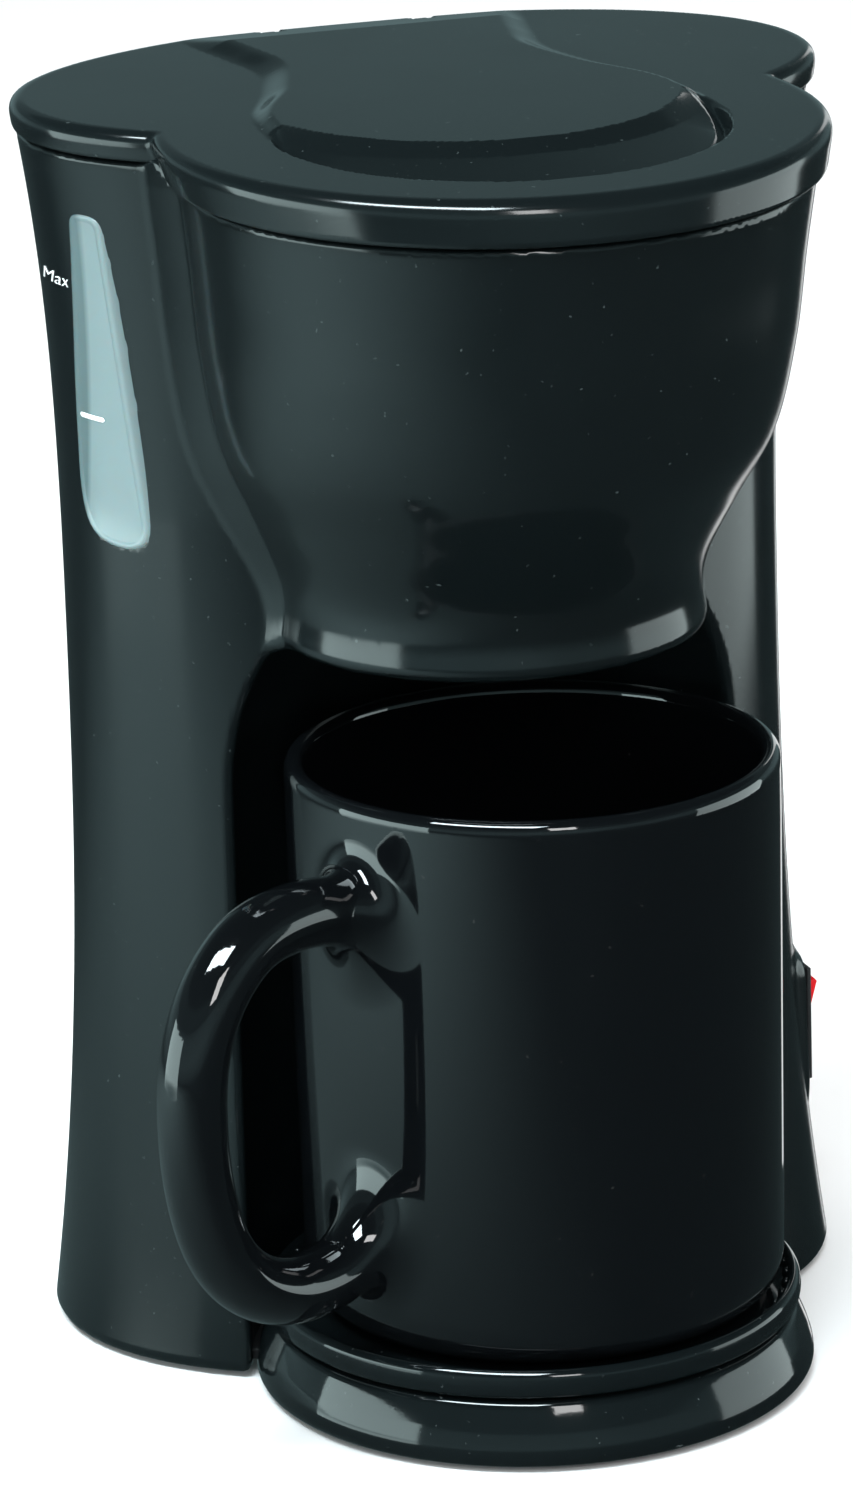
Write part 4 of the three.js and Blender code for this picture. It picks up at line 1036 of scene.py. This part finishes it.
def build_camera():
    """Camera at the photograph's viewing angle."""
    data = bpy.data.cameras.new("photo_camera")
    data.sensor_fit = "VERTICAL"
    data.sensor_height = SENSOR_HEIGHT
    data.lens = LENS
    data.clip_end = 20
    camera = bpy.data.objects.new("photo_camera", data)
    bpy.context.scene.collection.objects.link(camera)
    forward, right, up = camera_axes()
    turn = Matrix((right, up, -forward)).transposed()
    camera.matrix_world = Matrix.Translation(Vector(to_row(CAMERA_PLACE))) @ turn.to_4x4()
    bpy.context.scene.camera = camera


def plane(name, width, depth, place, material):
    """Flat sheet with softly rounded corners, part of the studio."""
    corner = min(width, depth) * 0.08
    points = []
    for sx, sy, a0 in ((1, 1, 0), (-1, 1, 90), (-1, -1, 180), (1, -1, 270)):
        for i in range(9):
            a = math.radians(a0 + i * 90 / 8)
            points.append((sx * (width / 2 - corner) + corner * math.cos(a),
                           sy * (depth / 2 - corner) + corner * math.sin(a), 0))
    mesh = bpy.data.meshes.new(name)
    mesh.from_pydata(points, [], [tuple(range(len(points)))])
    mesh.materials.append(material)
    sheet = bpy.data.objects.new(name, mesh)
    sheet.location = place
    bpy.context.scene.collection.objects.link(sheet)
    return sheet


def area_light(name, place, aim, width, height, power, color=(1, 1, 1), diffuse=0.12):
    """Softbox; diffuse is how much of it matt surfaces get."""
    data = bpy.data.lights.new(name, "AREA")
    data.shape = "RECTANGLE"
    data.size, data.size_y = width, height
    data.energy = power
    data.color = color
    data.diffuse_factor = diffuse
    light = bpy.data.objects.new(name, data)
    light.location = place
    light.rotation_euler = (Vector(aim) - Vector(place)).to_track_quat("-Z", "Y").to_euler()
    light.visible_camera = False
    bpy.context.scene.collection.objects.link(light)
    return light


# Brightness of the room by the sine of the height it is seen at, from straight down to straight up.
ROOM_BANDS = [(-1.0, 0.055), (-0.28, 0.062), (-0.13, 0.1), (-0.03, 0.32), (0.05, 0.42), (0.2, 0.37),
              (0.25, 0.31), (0.29, 0.15), (0.38, 0.15), (0.46, 0.15), (0.52, 0.06), (1.0, 0.015)]
ROOM_TINT = (0.66, 1.0, 1.04)
ROOM_RIGHT = 0.72              # how bright the room's right side is next to its left
ROOM_FILL = 0.78               # the room's light on matt surfaces


def build_world():
    """White for the camera and a pale fill for matt surfaces.

    Glossy surfaces see a dim room, darker on its right, with a pale band at its horizon.
    """
    world = bpy.data.worlds.new("studio")
    world.use_nodes = True
    where = add_node(world, "ShaderNodeTexCoord")
    split = add_node(world, "ShaderNodeSeparateXYZ")
    height = add_node(world, "ShaderNodeMapRange", From_Min=-1)
    bands = add_node(world, "ShaderNodeValToRGB")
    while len(bands.color_ramp.elements) < len(ROOM_BANDS):
        bands.color_ramp.elements.new(0.5)
    for stop, (level, value) in zip(bands.color_ramp.elements, ROOM_BANDS):
        stop.position = (level + 1) / 2
        stop.color = (*[value * c for c in ROOM_TINT], 1)
    side = add_node(world, "ShaderNodeMapRange", From_Max=0.35, To_Min=1, To_Max=ROOM_RIGHT)
    sided = add_node(world, "ShaderNodeVectorMath")
    sided.operation = "SCALE"
    path = add_node(world, "ShaderNodeLightPath")
    for_gloss = add_mix(world, path.outputs["Is Glossy Ray"], (ROOM_FILL, ROOM_FILL, ROOM_FILL))
    for_camera = add_mix(world, path.outputs["Is Camera Ray"], None, (1, 1, 1))
    background = world.node_tree.nodes["Background"]
    links = world.node_tree.links
    links.new(where.outputs["Generated"], split.inputs["Vector"])
    links.new(split.outputs["Z"], height.inputs["Value"])
    links.new(height.outputs["Result"], bands.inputs["Fac"])
    links.new(split.outputs["X"], side.inputs["Value"])
    links.new(bands.outputs["Color"], sided.inputs[0])
    links.new(side.outputs["Result"], sided.inputs["Scale"])
    links.new(sided.outputs["Vector"], for_gloss.inputs[7])
    links.new(for_gloss.outputs[2], for_camera.inputs[6])
    links.new(for_camera.outputs[2], background.inputs["Color"])
    bpy.context.scene.world = world


def glow(name, strength, color, inner, outer):
    """Light-giving card that is strongest inside a radius and clear outside another."""
    material = bpy.data.materials.new(name)
    material.use_nodes = True
    material.node_tree.nodes.clear()
    where = add_node(material, "ShaderNodeTexCoord")
    length = add_node(material, "ShaderNodeVectorMath")
    length.operation = "LENGTH"
    fade = add_node(material, "ShaderNodeMapRange", From_Min=outer, From_Max=inner)
    fade.interpolation_type = "SMOOTHSTEP"
    light = add_node(material, "ShaderNodeEmission", Color=(*color, 1), Strength=strength)
    clear = add_node(material, "ShaderNodeBsdfTransparent")
    mix = add_node(material, "ShaderNodeMixShader")
    out = add_node(material, "ShaderNodeOutputMaterial")
    links = material.node_tree.links
    links.new(where.outputs["Object"], length.inputs[0])
    links.new(length.outputs["Value"], fade.inputs["Value"])
    links.new(fade.outputs["Result"], mix.inputs["Fac"])
    links.new(clear.outputs["BSDF"], mix.inputs[1])
    links.new(light.outputs["Emission"], mix.inputs[2])
    links.new(mix.outputs["Shader"], out.inputs["Surface"])
    return material


def reflected_card(name, size, place, material):
    """Card just above the floor that shows only in glossy surfaces."""
    card = plane(name, size, size, place, material)
    card.visible_camera = False
    card.visible_diffuse = False
    card.visible_transmission = False
    card.visible_shadow = False


# Softboxes: place, aim, width, height, power, colour.
SOFTBOXES = {
    "left_panel": ((-1.2, 0, 0.1), (0, 0, 0.1), 1.1, 0.54, 8.2, (0.78, 1, 1)),
    "right_panel": ((1.25, -0.2, 0.08), (0, -0.1, 0.08), 1.1, 0.6, 5, (0.85, 1, 1)),
    "back_strip": ((0.6, 0.8, 0.1), (0, 0, 0.1), 0.1, 0.9, 0.35, (1, 1, 1)),
    "key": ((-0.12, -1.35, 0.86), (0, 0, 0.08), 0.3, 0.46, 4.6, (1, 1, 1)),
    "top_strip": ((-0.55, -0.5, 1.3), (0, 0, 0.2), 1.0, 0.3, 30, (0.85, 1, 1.05))}
FLOOR_SIZE = 9
FAR_CARD_SIZE, FAR_CARD_PLACE, FAR_GLOW = 1.05, (-0.46, -0.05, 0.0002), 1.15


def build_studio():
    """Pale floor, softboxes and the pale table edge that the gloss reflects."""
    white = new_material("floor_white", (0.9, 0.9, 0.9), 0.6)
    floor = plane("floor", FLOOR_SIZE, FLOOR_SIZE, (0, 0, 0), white)
    floor.visible_glossy = False
    far = glow("far_glow", FAR_GLOW, (0.68, 1, 1.03), 0.0, 0.5)
    reflected_card("far_card", FAR_CARD_SIZE, FAR_CARD_PLACE, far)
    overhead = area_light("overhead", (0.1, -0.2, 1.9), (0, 0, 0), 2.2, 2.2, 17, diffuse=1)
    overhead.visible_glossy = False
    for name, softbox in SOFTBOXES.items():
        area_light(name, *softbox)
    build_world()
    view = bpy.context.scene.view_settings
    view.view_transform = "Standard"


# ---------------------------------------------------------------- all together
HOUSING_CELL, LID_CELL, MUG_CELL = 1.1, 0.6, 0.75
SOFTENED = {
    "switch_body": 0.5, "switch_rocker": 0.45, "cord_gland": 0.4, "bottom_cover": 0.4,
    "drip_nozzle": 0.4, "water_spout": 0.3, "terminal_block": 0.4}


def build_softened():
    """Rounded copies of the plain CAD nodes, each on its own node's body."""
    bodies = frame["record"]["behaviour"]["bodies"]
    slots = {row["node"]: row["material_slot"] for row in frame["record"]["subparts"]}
    for node, width in SOFTENED.items():
        body = next(name for name, members in bodies.items() if node in members)
        slot = slots[node]
        soften(node, node + "_rounded", body, SLOT_MATERIALS[slot], width)


build_camera()
build_studio()
paint_cad_nodes()
build_housing()
build_lid()
build_mug()
build_base()
build_ring_ribs()
build_gauge()
build_ears()
build_filter()
build_softened()
